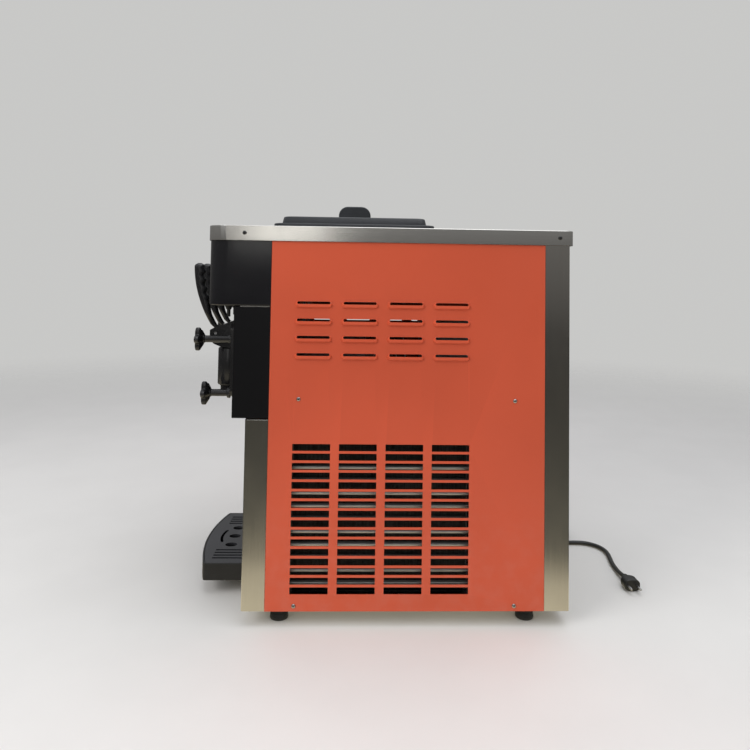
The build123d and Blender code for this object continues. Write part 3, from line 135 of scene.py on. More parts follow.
class Paint:
    """A material under construction: nodes are added by type, settings and inputs."""

    def __init__(self, name):
        self.material = bpy.data.materials.new(name)
        self.material.use_nodes = True
        self.tree = self.material.node_tree
        self.shader = self.tree.nodes["Principled BSDF"]
        self.place = self.node("ShaderNodeTexCoord").outputs["Object"]

    def node(self, kind, settings=None, inputs=None):
        made = self.tree.nodes.new(kind)
        for key, value in (settings or {}).items():
            setattr(made, key, value)
        for key, value in (inputs or {}).items():
            self.feed(made.inputs[key], value)
        return made

    def feed(self, socket, value):
        fill(self.tree.links, socket, value.socket if isinstance(value, Num) else value)

    def stretched(self, scale):
        """Object coordinates multiplied by scale, one factor an axis."""
        node = self.node("ShaderNodeMapping", {"vector_type": "POINT"},
                         {"Vector": self.place, "Scale": scale})
        return node.outputs["Vector"]

    def noise(self, scale, stretch=(1, 1, 1), detail=3.0, rough=0.55):
        node = self.node("ShaderNodeTexNoise", {"noise_dimensions": "3D"},
                         {"Vector": self.stretched(stretch), "Scale": scale, "Detail": detail,
                          "Roughness": rough})
        return Num(self, node.outputs["Fac"])

    def cells(self, scale, stretch=(1, 1, 1)):
        node = self.node("ShaderNodeTexVoronoi", {"feature": "F1"},
                         {"Vector": self.stretched(stretch), "Scale": scale})
        return Num(self, node.outputs["Distance"])

    def axis(self, name):
        """One object coordinate, in metres."""
        node = self.node("ShaderNodeSeparateXYZ", None, {"Vector": self.place})
        return Num(self, node.outputs[name])

    def facing(self, name):
        """One component of the surface normal, without its sign."""
        geometry = self.node("ShaderNodeNewGeometry")
        node = self.node("ShaderNodeSeparateXYZ", None, {"Vector": geometry.outputs["Normal"]})
        part = Num(self, node.outputs[name])
        return part.math("ABSOLUTE", part)

    def edges(self):
        """1 along worn convex edges, 0 elsewhere."""
        geometry = self.node("ShaderNodeNewGeometry")
        return Num(self, geometry.outputs["Pointiness"]).over(0.52, 0.60)

    def blend(self, factor, a, b):
        node = self.node("ShaderNodeMix", {"data_type": "RGBA", "blend_type": "MIX"},
                         {"Factor": factor})
        self.feed(node.inputs[6], a)
        self.feed(node.inputs[7], b)
        return node.outputs[2]

    def done(self, colour, roughness, metallic=0.0, height=None, depth=0.0002, **constants):
        """Connects the finished values; constants go on the shader's own sockets."""
        self.feed(self.shader.inputs["Base Color"], colour)
        self.feed(self.shader.inputs["Roughness"], roughness)
        self.feed(self.shader.inputs["Metallic"], metallic)
        if height is not None:
            bump = self.node("ShaderNodeBump", None,
                             {"Strength": 1.0, "Distance": depth, "Height": height})
            self.feed(self.shader.inputs["Normal"], bump.outputs["Normal"])
        for name, value in constants.items():
            self.shader.inputs[name.replace("_", " ")].default_value = value
        return self.material


def rgba(colour, gain=1.0):
    return (*(c * gain for c in colour[:3]), 1.0)


# ---------------------------------------------------------------- finishes


def enamel(name, colour, sheen=0.34, peel=0.00010, shine=0.5):
    """Powder coat: orange peel, faint clouding, settled dust and rubbed spots."""
    paint = Paint(name)
    cloud = paint.noise(3.2, detail=4)
    specks = paint.noise(260, detail=2)
    smear = paint.noise(9, stretch=(1, 1, 0.45), detail=5)
    tone = paint.blend(cloud.over(0.30, 0.72), rgba(colour, 0.96), rgba(colour, 1.04))
    tone = paint.blend(specks.over(0.60, 0.80) * 0.10, tone, rgba(colour, 0.60))
    dust = (1 - paint.axis("Z").over(0.03, 0.30)) * paint.noise(40, detail=6).over(0.35, 0.75)
    tone = paint.blend(dust * 0.06, tone, (0.55, 0.50, 0.44, 1))
    tone = paint.blend(paint.edges() * 0.20, tone, rgba(colour, 1.6))
    rough = sheen + (smear - 0.5) * 0.16 + dust * 0.12
    height = paint.noise(620, detail=1) * 0.7 + paint.noise(150, detail=1) * 0.3
    return paint.done(tone, rough, 0.0, height, peel, Specular_IOR_Level=shine)


def brushed(name, colour, grain, sheen=0.30, lay=None):
    """Stainless sheet. grain stretches the scratches: small along them and large across them."""
    paint = Paint(name)
    fine = paint.noise(1.0, stretch=grain, detail=5, rough=0.7)
    broad = paint.noise(1.0, stretch=tuple(g * 0.18 for g in grain), detail=3)
    if lay is not None:
        flat = paint.facing("Z").over(0.6, 0.9)
        fine = fine * (1 - flat) + paint.noise(1.0, stretch=lay, detail=5, rough=0.7) * flat
    smudge = paint.noise(7, detail=5).over(0.42, 0.78)
    tone = paint.blend(fine.over(0.28, 0.74), rgba(colour, 0.93), rgba(colour, 1.05))
    tone = paint.blend(broad.over(0.30, 0.70) * 0.25, tone, rgba(colour, 0.93))
    tone = paint.blend(smudge * 0.12, tone, rgba(colour, 0.78))
    rough = sheen + (fine - 0.5) * 0.09 + smudge * 0.06
    return paint.done(tone, rough, 1.0, fine, 0.000015)


def moulded(name, colour, sheen=0.45, grain=520.0, depth=0.00008, dusty=0.5):
    """Moulded plastic: fine mould grain, polished high spots, dust and hairline scratches."""
    paint = Paint(name)
    skin = paint.noise(grain, detail=2)
    handling = paint.noise(14, detail=5)
    scratch = paint.noise(1.0, stretch=(420, 60, 300), detail=2).over(0.70, 0.78)
    dust = paint.noise(55, detail=6).over(0.56, 0.80) * dusty
    tone = paint.blend(handling.over(0.3, 0.75), rgba(colour, 0.85), rgba(colour, 1.18))
    tone = paint.blend(dust * 0.05, tone, (0.30, 0.29, 0.28, 1))
    tone = paint.blend(paint.edges() * 0.35, tone, rgba([c + 0.01 for c in colour], 1.6))
    tone = paint.blend(scratch * 0.06, tone, rgba([c + 0.03 for c in colour], 1.5))
    rough = sheen + (handling - 0.5) * 0.20 + dust * 0.15 + scratch * 0.1
    return paint.done(tone, rough, 0.0, skin, depth)


def gloss(name, colour, sheen=0.11):
    """Polished black case: deep gloss with wiping marks and a little dust."""
    paint = Paint(name)
    wiping = paint.noise(6, stretch=(1, 1, 2.2), detail=6)
    hair = paint.noise(1.0, stretch=(30, 30, 500), detail=2).over(0.68, 0.76)
    dust = paint.noise(90, detail=6).over(0.62, 0.84)
    tone = paint.blend(dust * 0.02, rgba(colour, 0.7), (0.30, 0.30, 0.30, 1))
    tone = paint.blend(hair * 0.02, tone, (0.22, 0.22, 0.23, 1))
    rough = sheen + wiping.over(0.35, 0.80) * 0.10 + dust * 0.14
    ripple = paint.noise(5, detail=1)
    return paint.done(tone, rough, 0.0, ripple, 0.0006, Specular_IOR_Level=0.55)


def rubbery(name, colour):
    """Rubber: dull, with a fine bloom and scuffs."""
    paint = Paint(name)
    bloom = paint.noise(30, detail=6)
    scuff = paint.noise(1.0, stretch=(90, 90, 500), detail=3).over(0.60, 0.75)
    tone = paint.blend(bloom.over(0.45, 0.80) * 0.30, rgba(colour), (0.09, 0.09, 0.088, 1))
    tone = paint.blend(scuff * 0.12, tone, (0.13, 0.13, 0.12, 1))
    return paint.done(tone, 0.62 + (bloom - 0.5) * 0.22, 0.0, paint.noise(700), 0.0001)


def bare_metal(name, colour, sheen=0.32, texture=220.0, depth=0.0001, spots=0.4):
    """Plated or cast metal: mottled, with dull spots and a rough cast skin."""
    paint = Paint(name)
    mottle = paint.noise(38, detail=6)
    spot = paint.cells(240).over(0.0, 0.32)
    tone = paint.blend(mottle.over(0.3, 0.75), rgba(colour, 0.78), rgba(colour, 1.12))
    tone = paint.blend((1 - spot) * spots * 0.5, tone, rgba(colour, 0.55))
    rough = sheen + (mottle - 0.5) * 0.30
    return paint.done(tone, rough, 1.0, paint.noise(texture, detail=4), depth)


def dusty_fins(name, colour):
    """Aluminium fins under dust and lint that gathers on their front edges."""
    paint = Paint(name)
    lint = paint.noise(1.0, stretch=(60, 260, 26), detail=6).over(0.40, 0.72)
    patch = paint.noise(16, detail=5).over(0.35, 0.70)
    tone = paint.blend(patch, rgba(colour, 0.75), rgba(colour, 1.3))
    tone = paint.blend(lint * 0.55, tone, (0.055, 0.048, 0.042, 1))
    return paint.done(tone, 0.45 + lint * 0.3, 0.75 - lint * 0.6, lint, 0.0003)


def tube_with_painted_shade(name, colour):
    """Bright tubes with painted shade: their upper and lower sides are darkened nearly to black and
    dulled, so only a narrow band along the middle stays bright.
    """
    paint = Paint(name)
    streak = paint.noise(1.0, stretch=(60, 9, 60), detail=5)
    # Painted shade mask: high where the surface faces up or down, broken a little by the streaks
    painted_shade_band = (paint.facing("Z") + (streak - 0.5) * 0.3).over(0.22, 0.58)
    tone = paint.blend(streak.over(0.3, 0.75), rgba(colour, 0.80), rgba(colour, 1.15))
    # Painted shade: the upper and lower sides go nearly black
    tone = paint.blend(painted_shade_band * 0.95, tone, (0.020, 0.018, 0.016, 1))
    return paint.done(tone, 0.34 + painted_shade_band * 0.35, 1 - painted_shade_band * 0.7, paint.noise(300), 0.00005)


def foamed(name, colour):
    """Closed-cell foam with small pits."""
    paint = Paint(name)
    pits = paint.cells(320)
    tone = paint.blend(paint.noise(12).over(0.3, 0.7), rgba(colour, 0.85), rgba(colour, 1.1))
    return paint.done(tone, 0.85 + (pits - 0.3) * 0.2, 0.0, pits, 0.0006)


def display_glass():
    """Dark smoked window with a faint haze."""
    paint = Paint("display window")
    haze = paint.noise(40, detail=4)
    tone = paint.blend(haze.over(0.3, 0.8), (0.010, 0.014, 0.020, 1), (0.016, 0.022, 0.03, 1))
    return paint.done(tone, 0.05 + haze * 0.05, 0.0, paint.noise(6), 0.0003)


def key_print():
    """Pale worn print of the touch keys."""
    paint = Paint("touch keys")
    worn = paint.noise(120, detail=5)
    tone = paint.blend(worn.over(0.4, 0.8), (0.42, 0.43, 0.44, 1), (0.30, 0.31, 0.32, 1))
    return paint.done(tone, 0.4 + (worn - 0.5) * 0.3, 0.0, worn, 0.00005)


# Each slot's maker, its finish's name, a gain on the record's colour and the maker's own figures
RECIPES = {
    "orange_enamel": (enamel, "orange powder coat", 1, 0.36),
    "brushed_stainless": (brushed, "upright brushed stainless", 1, (2200, 2200, 9), 0.12),
    "rim_stainless": (brushed, "level brushed stainless", 1, (9, 9, 2400), 0.16, (2200, 9, 9)),
    "black_gloss_case": (gloss, "gloss black case", 1),
    "black_enamel": (enamel, "black enamel", 0.6, 0.30, 0.00006, 0.15),
    "slate_plastic": (moulded, "slate lid plastic", 0.7, 0.38, 420, 0.0001),
    "tray_plastic": (moulded, "tray plastic", 0.6, 0.42, 380, 0.00014),
    "grille_plastic": (moulded, "grille plastic", 0.8, 0.42, 380, 0.00014),
    "black_nylon": (moulded, "black nylon", 1, 0.24, 480, 0.00004, 0.2),
    "valve_plastic": (moulded, "white valve plastic", 1, 0.34, 300, 0.00005, 0.1),
    "switch_rubber": (rubbery, "switch rubber", 1),
    "foot_rubber": (rubbery, "foot rubber", 1),
    "belt_rubber": (rubbery, "belt rubber", 1),
    "cord_pvc": (moulded, "cord sheath", 1, 0.40, 900, 0.00006, 0.4),
    "zinc_steel": (bare_metal, "zinc plate", 1, 0.30, 300, 0.00005, 0.8),
    "bare_stainless": (brushed, "plain stainless tube", 1, (300, 6, 300), 0.26),
    "foam": (foamed, "foam jacket", 1),
    "pulley_aluminium": (bare_metal, "cast aluminium", 1, 0.38, 180, 0.0002),
    "fin_aluminium": (dusty_fins, "dusty fins", 1),
    "tube_aluminium": (tube_with_painted_shade, "condenser tube", 1),
    "motor_enamel": (enamel, "machine enamel", 1, 0.42, 0.0002),
    "fan_plastic": (moulded, "fan plastic", 1, 0.5),
    "copper_pipe": (bare_metal, "drawn copper", 1, 0.24, 500, 0.00003, 0.5),
    "control_grey": (enamel, "grey box enamel", 1, 0.4),
}
FINISHES = {}


def finish_of(slot):
    if slot not in FINISHES:
        colour = next(m["base_color"] for m in record["materials"] if m["slot"] == slot)
        maker, name, gain, *figures = RECIPES[slot]
        FINISHES[slot] = maker(name, [c * gain for c in colour], *figures)
    return FINISHES[slot]


# ---------------------------------------------------------------- mesh helpers


def linked(name, data):
    """A new object in the scene."""
    made = bpy.data.objects.new(name, data)
    bpy.context.scene.collection.objects.link(made)
    return made


def add_piece(name, bm, body, slot, smooth=35.0, finish=None):
    """Turns a bmesh in the machine's own frame into a finished piece on a body."""
    mesh = bpy.data.meshes.new(name)
    bm.to_mesh(mesh)
    bm.free()
    mesh.polygons.foreach_set("use_smooth", [True] * len(mesh.polygons))
    mesh.set_sharp_from_angle(angle=radians(smooth))
    mesh.materials.append(finish or finish_of(slot))
    piece = linked(name, mesh)
    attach(piece, body)
    return piece


def soften(piece, width, segments=2, angle=40.0):
    """Rounds the piece's sharp edges."""
    bevel = piece.modifiers.new("soft edges", "BEVEL")
    bevel.width = width
    bevel.segments = segments
    bevel.limit_method = "ANGLE"
    bevel.angle_limit = radians(angle)
    bevel.use_clamp_overlap = True
    bevel.harden_normals = True
    return piece


def body_holding(node):
    return frame["nodes"][node]["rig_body"]


def skin(node, width=0.0, segments=2, smooth=35.0):
    """A merged copy of a CAD node with its edges softened, which stands for it."""
    bm = bmesh.new()
    bm.from_mesh(frame["nodes"][node].data)
    bmesh.ops.remove_doubles(bm, verts=bm.verts, dist=0.01 * MM)
    bmesh.ops.dissolve_limit(bm, angle_limit=radians(0.6), use_dissolve_boundaries=False,
                             verts=bm.verts, edges=bm.edges, delimit=set())
    piece = add_piece(node + "_skin", bm, body_holding(node), SLOT_OF[node], smooth)
    if width:
        soften(piece, width, segments)
    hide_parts(node)
    return piece


def ring(bm, segments, matrix, power=1.0):
    """A closed loop; power under 1 squares the circle off."""
    verts = bmesh.ops.create_circle(bm, segments=segments, radius=1.0, cap_ends=False)["verts"]
    for v in verts:
        v.co.x = abs(v.co.x) ** power * (1 if v.co.x > 0 else -1)
        v.co.y = abs(v.co.y) ** power * (1 if v.co.y > 0 else -1)
    bmesh.ops.transform(bm, matrix=matrix, verts=verts)
    return verts


def loop_edges(*loops):
    """The edges that run along each of the loops."""
    found = set()
    for loop in loops:
        chosen = set(loop)
        found.update(e for v in loop for e in v.link_edges if set(e.verts) <= chosen)
    return list(found)


def loft(bm, segments, matrices, power=1.0):
    """A closed solid through rings placed by matrices."""
    loops = [ring(bm, segments, m, power) for m in matrices]
    for a, b in zip(loops, loops[1:]):
        bmesh.ops.bridge_loops(bm, edges=loop_edges(a, b))
    for end in (loops[0], loops[-1]):
        bmesh.ops.contextual_create(bm, geom=end)
    return loops


def lathe(bm, profile, matrix, steps=40):
    """Spins (radius, height) points about the local Z axis and places the result."""
    before = set(bm.verts)
    verts = [bm.verts.new((r, 0, h)) for r, h in profile]
    edges = [bm.edges.new(pair) for pair in zip(verts, verts[1:])]
    bmesh.ops.spin(bm, geom=verts + edges, cent=(0, 0, 0), axis=(0, 0, 1), dvec=(0, 0, 0),
                   angle=tau, steps=steps, use_merge=True)
    made = [v for v in bm.verts if v not in before]
    bmesh.ops.remove_doubles(bm, verts=made, dist=0.004 * MM)
    made = [v for v in bm.verts if v not in before]
    bmesh.ops.transform(bm, matrix=matrix, verts=made)
    return made


def block(bm, at, size):
    """A box of the given size, centred where the matrix says."""
    verts = bmesh.ops.create_cube(bm, size=1.0)["verts"]
    bmesh.ops.transform(bm, verts=verts, matrix=at @ Matrix.Diagonal((*size, 1)))


def in_metres(points):
    return [tuple(c * MM for c in point) for point in points]


def share(value, low, high):
    """0 below low, 1 above high, straight between."""
    return min(max((value - low) / (high - low), 0), 1)


def eased(value, low, high):
    t = share(value, low, high)
    return t * t * (3 - 2 * t)


def placed(x, y, z, sx=1.0, sy=1.0, turn=None):
    """Moves, turns and scales a flat shape: local X and Y are scaled before the turn."""
    return Matrix.Translation((x, y, z)) @ (turn or Matrix()) @ Matrix.Diagonal((sx, sy, 1, 1))


def middle(node):
    low, high = (Vector(c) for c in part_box(node))
    return (low + high) / 2, high - low


# ---------------------------------------------------------------- camera, light and floor


def make_camera():
    """Eye level, square to the machine's right side, a little above the draw handles."""
    eye = Vector((1.525, -0.039, 0.666))
    yaw, pitch, roll = 0.03226, 0.04147, -0.01521
    ahead = Vector((-cos(yaw) * cos(pitch), sin(yaw) * cos(pitch), sin(pitch)))
    level = Vector((sin(yaw), cos(yaw), 0))
    upright = level.cross(ahead)
    right = cos(roll) * level - sin(roll) * upright
    up = sin(roll) * level + cos(roll) * upright
    camera = linked("camera", bpy.data.cameras.new("camera"))
    camera.matrix_world = Matrix((
        (right.x, up.x, -ahead.x, eye.x),
        (right.y, up.y, -ahead.y, eye.y),
        (right.z, up.z, -ahead.z, eye.z),
        (0, 0, 0, 1),
    ))
    camera.data.sensor_width = 36.0
    camera.data.lens = 31.15
    camera.data.shift_x = -0.0013
    camera.data.shift_y = -0.168
    camera.data.clip_start = 0.05
    camera.data.clip_end = 60.0
    bpy.context.scene.camera = camera


def add_light(name, place, aim, size, watts, colour=(1, 1, 1), mirrored=True):
    data = bpy.data.lights.new(name, "AREA")
    data.shape = "RECTANGLE"
    data.size, data.size_y = size
    data.energy = watts
    data.color = colour
    light = linked(name, data)
    light.location = place
    light.visible_glossy = mirrored
    light.rotation_euler = (Vector(aim) - Vector(place)).to_track_quat("-Z", "Y").to_euler()


def make_world(colour):
    """A pale backdrop, a soft room for diffuse light and a darker room for reflections."""
    world = bpy.data.worlds.new("studio")
    world.use_nodes = True
    bpy.context.scene.world = world
    nodes, links = world.node_tree.nodes, world.node_tree.links
    split = nodes.new("ShaderNodeSeparateXYZ")
    links.new(nodes.new("ShaderNodeTexCoord").outputs["Generated"], split.inputs[0])

    def math(operation, a, b, c=0.0):
        made = nodes.new("ShaderNodeMath")
        made.operation = operation
        for socket, value in zip(made.inputs, (a, b, c)):
            fill(links, socket, value)
        return made.outputs[0]

    def band(value, stops):
        """A colour ramp over -1 to 1, from (value, colour) stops."""
        ramp = nodes.new("ShaderNodeValToRGB")
        elements = ramp.color_ramp.elements
        while len(elements) < len(stops):
            elements.new(0.5)
        for element, (at, tone) in zip(elements, stops):
            element.position = (at + 1) / 2
            element.color = (*tone, 1)
        links.new(math("MULTIPLY_ADD", value, 0.5, 0.5), ramp.inputs[0])
        return ramp.outputs[0]

    def light(tone, strength=1.0):
        made = nodes.new("ShaderNodeBackground")
        fill(links, made.inputs["Color"], tone)
        made.inputs["Strength"].default_value = strength
        return made.outputs[0]

    def choose(factor, a, b):
        made = nodes.new("ShaderNodeMixShader")
        for socket, value in zip(made.inputs, (factor, a, b)):
            links.new(value, socket)
        return made.outputs[0]

    height = split.outputs["Z"]
    soft = light(band(height, [(-0.3, (0.30, 0.27, 0.24)), (0.7, (0.95, 0.96, 1.0))]), 0.52)
    room = light(band(height, [
        (-0.44, (0.82, 0.74, 0.55)), (-0.402, (0.76, 0.68, 0.50)), (-0.385, (0.12, 0.115, 0.095)),
        (-0.10, (0.05, 0.048, 0.045)), (-0.03, (0.13, 0.125, 0.12)), (0.04, (0.17, 0.165, 0.16)),
        (0.35, (0.34, 0.34, 0.34)), (0.70, (0.75, 0.76, 0.78)),
    ]))
    sideways = math("DIVIDE", split.outputs["Y"], math("MAXIMUM", split.outputs["X"], 0.05))
    window = math("COMPARE", sideways, -0.150, 0.082)
    window = math("MULTIPLY", window, math("GREATER_THAN", height, 0.02))
    window = math("MULTIPLY", window, math("LESS_THAN", height, 0.6))
    window = math("MULTIPLY", window, math("GREATER_THAN", split.outputs["X"], 0.2))
    mirrored = choose(window, room, light((1.0, 0.98, 0.94, 1), 1.45))
    path = nodes.new("ShaderNodeLightPath")
    seen = choose(path.outputs["Is Glossy Ray"], soft, mirrored)
    seen = choose(path.outputs["Is Camera Ray"], seen, light(rgba(colour)))
    links.new(seen, nodes["World Output"].inputs["Surface"])


def make_floor(colour):
    """A round pale floor that fades into the backdrop."""
    bm = bmesh.new()
    bmesh.ops.create_circle(bm, segments=96, radius=6.0, cap_ends=True)
    mesh = bpy.data.meshes.new("floor")
    bm.to_mesh(mesh)
    bm.free()
    floor = linked("floor", mesh)
    paint = Paint("studio floor")
    length = paint.node("ShaderNodeVectorMath", {"operation": "LENGTH"}, {0: paint.place})
    fade = Num(paint, length.outputs["Value"]).over(1.5, 4.5)
    mottle = paint.noise(5, detail=5)
    tone = paint.blend(mottle.over(0.3, 0.7), rgba(colour, 0.985), rgba(colour, 1.01))
    paint.done(tone, 0.55 + (mottle - 0.5) * 0.1, 0.0, paint.noise(180), 0.0001)
    clear = paint.node("ShaderNodeBsdfTransparent")
    mix = paint.node("ShaderNodeMixShader", None, {0: fade})
    paint.tree.links.new(paint.shader.outputs[0], mix.inputs[1])
    paint.tree.links.new(clear.outputs[0], mix.inputs[2])
    paint.tree.links.new(mix.outputs[0], paint.tree.nodes["Material Output"].inputs["Surface"])
    mesh.materials.append(paint.material)
    floor.visible_glossy = False


# ---------------------------------------------------------------- power cord

CORD_D = 10 * MM
COIL_R = 55 * MM
COIL_AT = Vector((-0.178, 0.463))
CORD_IN = [(-118, 391, 39), (-118, 409, 39), (-118, 444, 15)]
CORD_OUT = [
    (-111.5, 492, 5), (-116, 520, 5), (-112.9, 549.8, 5), (-94.4, 573.4, 5), (-66.2, 583.7, 5),
    (-34.4, 579.8, 5), (0.7, 571.7, 5), (36.5, 568, 5.5), (64, 566.4, 8.5), (88, 566, 12.5),
]


def coil_points():
    """Four turns, two side by side on two more; entered and left at the outer edge."""
    half = CORD_D / 2
    turns = [(COIL_R + half, 3 * half), (COIL_R - half, 3 * half), (COIL_R - half, half),
             (COIL_R + half, half)]
    points = []
    per_turn = 14
    for k in range(per_turn * len(turns) + 1):
        turn = min(k // per_turn, len(turns) - 1)
        part = k / per_turn - turn
        r, z = turns[turn]
        after = turns[min(turn + 1, len(turns) - 1)]
        ease = max(0.0, (part - 0.6) / 0.4) if turn < len(turns) - 1 else 0.0
        r, z = r + (after[0] - r) * ease, z + (after[1] - z) * ease
        angle = tau * k / per_turn
        points.append((COIL_AT.x + r * cos(angle), COIL_AT.y + r * sin(angle), z))
    return points


def make_cord():
    route = in_metres(CORD_IN) + coil_points() + in_metres(CORD_OUT)
    data = bpy.data.curves.new("power_cord_line", "CURVE")
    data.dimensions = "3D"
    data.bevel_depth = CORD_D / 2
    data.bevel_resolution = 5
    data.resolution_u = 10
    data.use_fill_caps = True
    spline = data.splines.new("NURBS")
    spline.points.add(len(route) - 1)
    for point, place in zip(spline.points, route):
        point.co = (*place, 1.0)
    spline.order_u = 3
    spline.use_endpoint_u = True
    data.materials.append(finish_of("cord_pvc"))
    cord = linked("power_cord_line", data)
    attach(cord, "cabinet")
    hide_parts("power_cord", "cord_coil")
    boot = make_strain_relief()
    plug = make_plug()


def make_strain_relief():
    """Ribbed boot that tapers along the first stretch of the cord."""
    bm = bmesh.new()
    x, y, z = (c * MM for c in CORD_IN[0])
    profile = [(0.0, -7.5), (8.8, -7.5), (8.8, -5.0), (7.6, -4.0)]
    for k in range(5):
        along = -3.0 + 4.4 * k
        r = 7.3 - 0.32 * k
        profile += [(r, along), (r, along + 2.6), (r - 0.9, along + 3.0), (r - 0.9, along + 4.0)]
    profile += [(5.4, 19.5), (4.6, 20.0)]
    lathe(bm, in_metres(profile), placed(x, y, z, turn=TO_REAR), steps=32)
    boot = add_piece("cord_strain_relief", bm, "cabinet", "black_nylon", 30)
    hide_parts("cord_gland")
    return boot


def make_plug():
    """Moulded plug body with finger grips, shoulder and two round pins."""
    bm = bmesh.new()
    mid, size = middle("power_plug")
    rear = mid.x - size.x / 2
    stations = [(-2, 6.5, 6.5), (3, 7.2, 7.0), (8, 9.0, 8.0), (14, 14.5, 11.0), (18, 16.6, 12.2),
                (22, 15.4, 11.6), (26, 16.6, 12.3), (30, 15.6, 11.7), (34, 16.8, 12.4),
                (38.5, 16.9, 12.4), (40, 16.0, 11.6)]
    loft(bm, 32, [placed(rear + s * MM, mid.y, 12.5 * MM, t * MM, w * MM, TO_RIGHT)
                  for s, w, t in stations], power=0.72)
    body = add_piece("power_plug_body", bm, "cabinet", "cord_pvc", 50)
    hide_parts("power_plug")
    bm = bmesh.new()
    for side in (-9.5, 9.5):
        lathe(bm, in_metres([(0, 0), (2.4, 0), (2.4, 17.5), (1.6, 19), (0, 19)]),
              placed(rear + 39.8 * MM, mid.y + side * MM, 12.5 * MM, turn=TO_RIGHT), steps=24)
    pins = add_piece("power_plug_pins", bm, "cabinet", "zinc_steel", 40)
    pins.parent = body
    return body


# ---------------------------------------------------------------- handles, knobs and lids


PIVOT_R = 4.05
NECK_T = 13.5
HANDLE_T = 20.6
WAVE = 19.0
WAVE_DEPTH = 2.6
WAVE_CREST_Z = 671.0


def handle_section(z, bend_z, pivot_y):
    """Middle Y, half thickness and half width of a draw handle at height z, all in mm."""
    drop = max(bend_z - z, 0)
    front = -393.0 + 0.00223 * drop**2
    back = -371.0 + 0.001885 * drop**2
    if z < 607:
        back = front + NECK_T + (HANDLE_T - NECK_T) * eased(z, 572, 607)
    waves = share(z, 604, 614) * share(-z, -681, -673)
    back += WAVE_DEPTH * cos((z - WAVE_CREST_Z) * tau / WAVE) * waves
    root = share(z, 541, 553)
    middle_y = (front + back) / 2 * root + pivot_y * (1 - root)
    thick = (back - front) / 2 * root + 5.0 * (1 - root)
    return middle_y, thick, 5.6 + 4.2 * eased(z, 556, 582)


def make_handle(where):
    """Curved draw handle with finger waves down its back, a pivot boss and a nose."""
    node = "draw_handle_" + where
    joint = next(j for j in frame["joints"] if j["child"] == body_holding(node))
    x, pivot_y, pivot_z = joint["pos_m"]
    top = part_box(node)[1][2]
    foot = pivot_z + 4 * MM
    bm = bmesh.new()
    stations = []
    count = 44
    for k in range(count + 1):
        z = foot + (top - foot) * k / count
        y, thick, wide = handle_section(z / MM, top / MM - 3.5, pivot_y / MM)
        crown = max(0.0, 1 - (top - z) / (7 * MM))
        shrink = max(max(1 - crown**2, 0) ** 0.5, 0.35)
        stations.append(placed(x, y * MM, z, wide * shrink * MM, thick * shrink * MM))
    loft(bm, 28, stations, power=0.80)
    boss = [(PIVOT_R, -6), (8.4, -6), (9.4, -5), (9.4, 5), (8.4, 6), (PIVOT_R, 6), (PIVOT_R, -6)]
    lathe(bm, in_metres(boss), placed(x, pivot_y, pivot_z, turn=TO_RIGHT), steps=36)
    nose_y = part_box("draw_valve_" + where)[0][1] + 14 * MM
    arm = [(pivot_y + 6 * MM, 4.6), (pivot_y + 14 * MM, 3.6), (nose_y - 5 * MM, 3.4),
           (nose_y - 3 * MM, 4.6), (nose_y, 4.8), (nose_y + 3 * MM, 4.0), (nose_y + 4.6 * MM, 1.6)]
    loft(bm, 20, [placed(x, y, pivot_z + 1 * MM, 5.8 * MM, t * MM, TO_REAR) for y, t in arm], 0.8)
    bmesh.ops.recalc_face_normals(bm, faces=bm.faces)
    handle = add_piece(node + "_grip", bm, body_holding(node), SLOT_OF[node], 55)
    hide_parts(node)


# Depth behind the knob's face in mm, and share of the full radius
KNOB_SHAPE = [(0.0, 0.84), (0.9, 0.95), (2.6, 1.0), (8.6, 1.0), (10.2, 0.96), (13.2, 0.74),
              (16.6, 0.52)]
KNOB_LOBES = 5


def make_knob(node):
    """Five-lobed star knob with a dished face and a long sleeve that ends in a collar."""
    mid, size = middle(node)
    low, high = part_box(node)
    lower = "lower" in node
    front = low[1] + (5.0 if lower else 4.0) * MM
    collar = 11.2 if lower else 9.2
    radius = size.z / 2 / 0.965
    bm = bmesh.new()
    loops = []
    for depth, scale in KNOB_SHAPE:
        verts = bmesh.ops.create_circle(bm, segments=70, radius=radius, cap_ends=False)["verts"]
        for v in verts:
            lobe = 0.5 + 0.5 * cos(KNOB_LOBES * atan2(v.co.y, v.co.x))
            v.co.xy *= (0.64 + 0.36 * lobe**0.8) * scale
        at = placed(mid.x, front + depth * MM, mid.z, turn=TO_REAR)
        bmesh.ops.transform(bm, matrix=at, verts=verts)
        loops.append(verts)
    for a, b in zip(loops, loops[1:]):
        bmesh.ops.bridge_loops(bm, edges=loop_edges(a, b))
    cap = bmesh.ops.contextual_create(bm, geom=loops[0])["faces"]
    bmesh.ops.contextual_create(bm, geom=loops[-1])
    bmesh.ops.inset_region(bm, faces=cap, thickness=4.5 * MM, use_even_offset=True)
    dish = list({v for f in cap for v in f.verts})
    bmesh.ops.translate(bm, vec=(0, 1.2 * MM, 0), verts=dish)
    end = (high[1] - front) / MM - 0.3
    sleeve = [(0.0, 14.0), (9.0, 14.0), (8.8, 18.5), (7.4, 20.0), (7.4, end - 7.0),
              (collar - 0.5, end - 5.5), (collar, end - 4.5), (collar, end), (PIVOT_R, end),
              (PIVOT_R, end - 12)]
    lathe(bm, in_metres(sleeve), placed(mid.x, front, mid.z, turn=TO_REAR), steps=36)
    button = [(0.0, -0.2), (5.0, -0.2), (6.6, 0.6), (7.0, 2.0)]
    lathe(bm, in_metres(button), placed(mid.x, front + 0.3 * MM, mid.z, turn=TO_REAR), steps=36)
    bmesh.ops.recalc_face_normals(bm, faces=bm.faces)
    knob = add_piece(node + "_grip", bm, body_holding(node), SLOT_OF[node], 42)
    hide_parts(node)


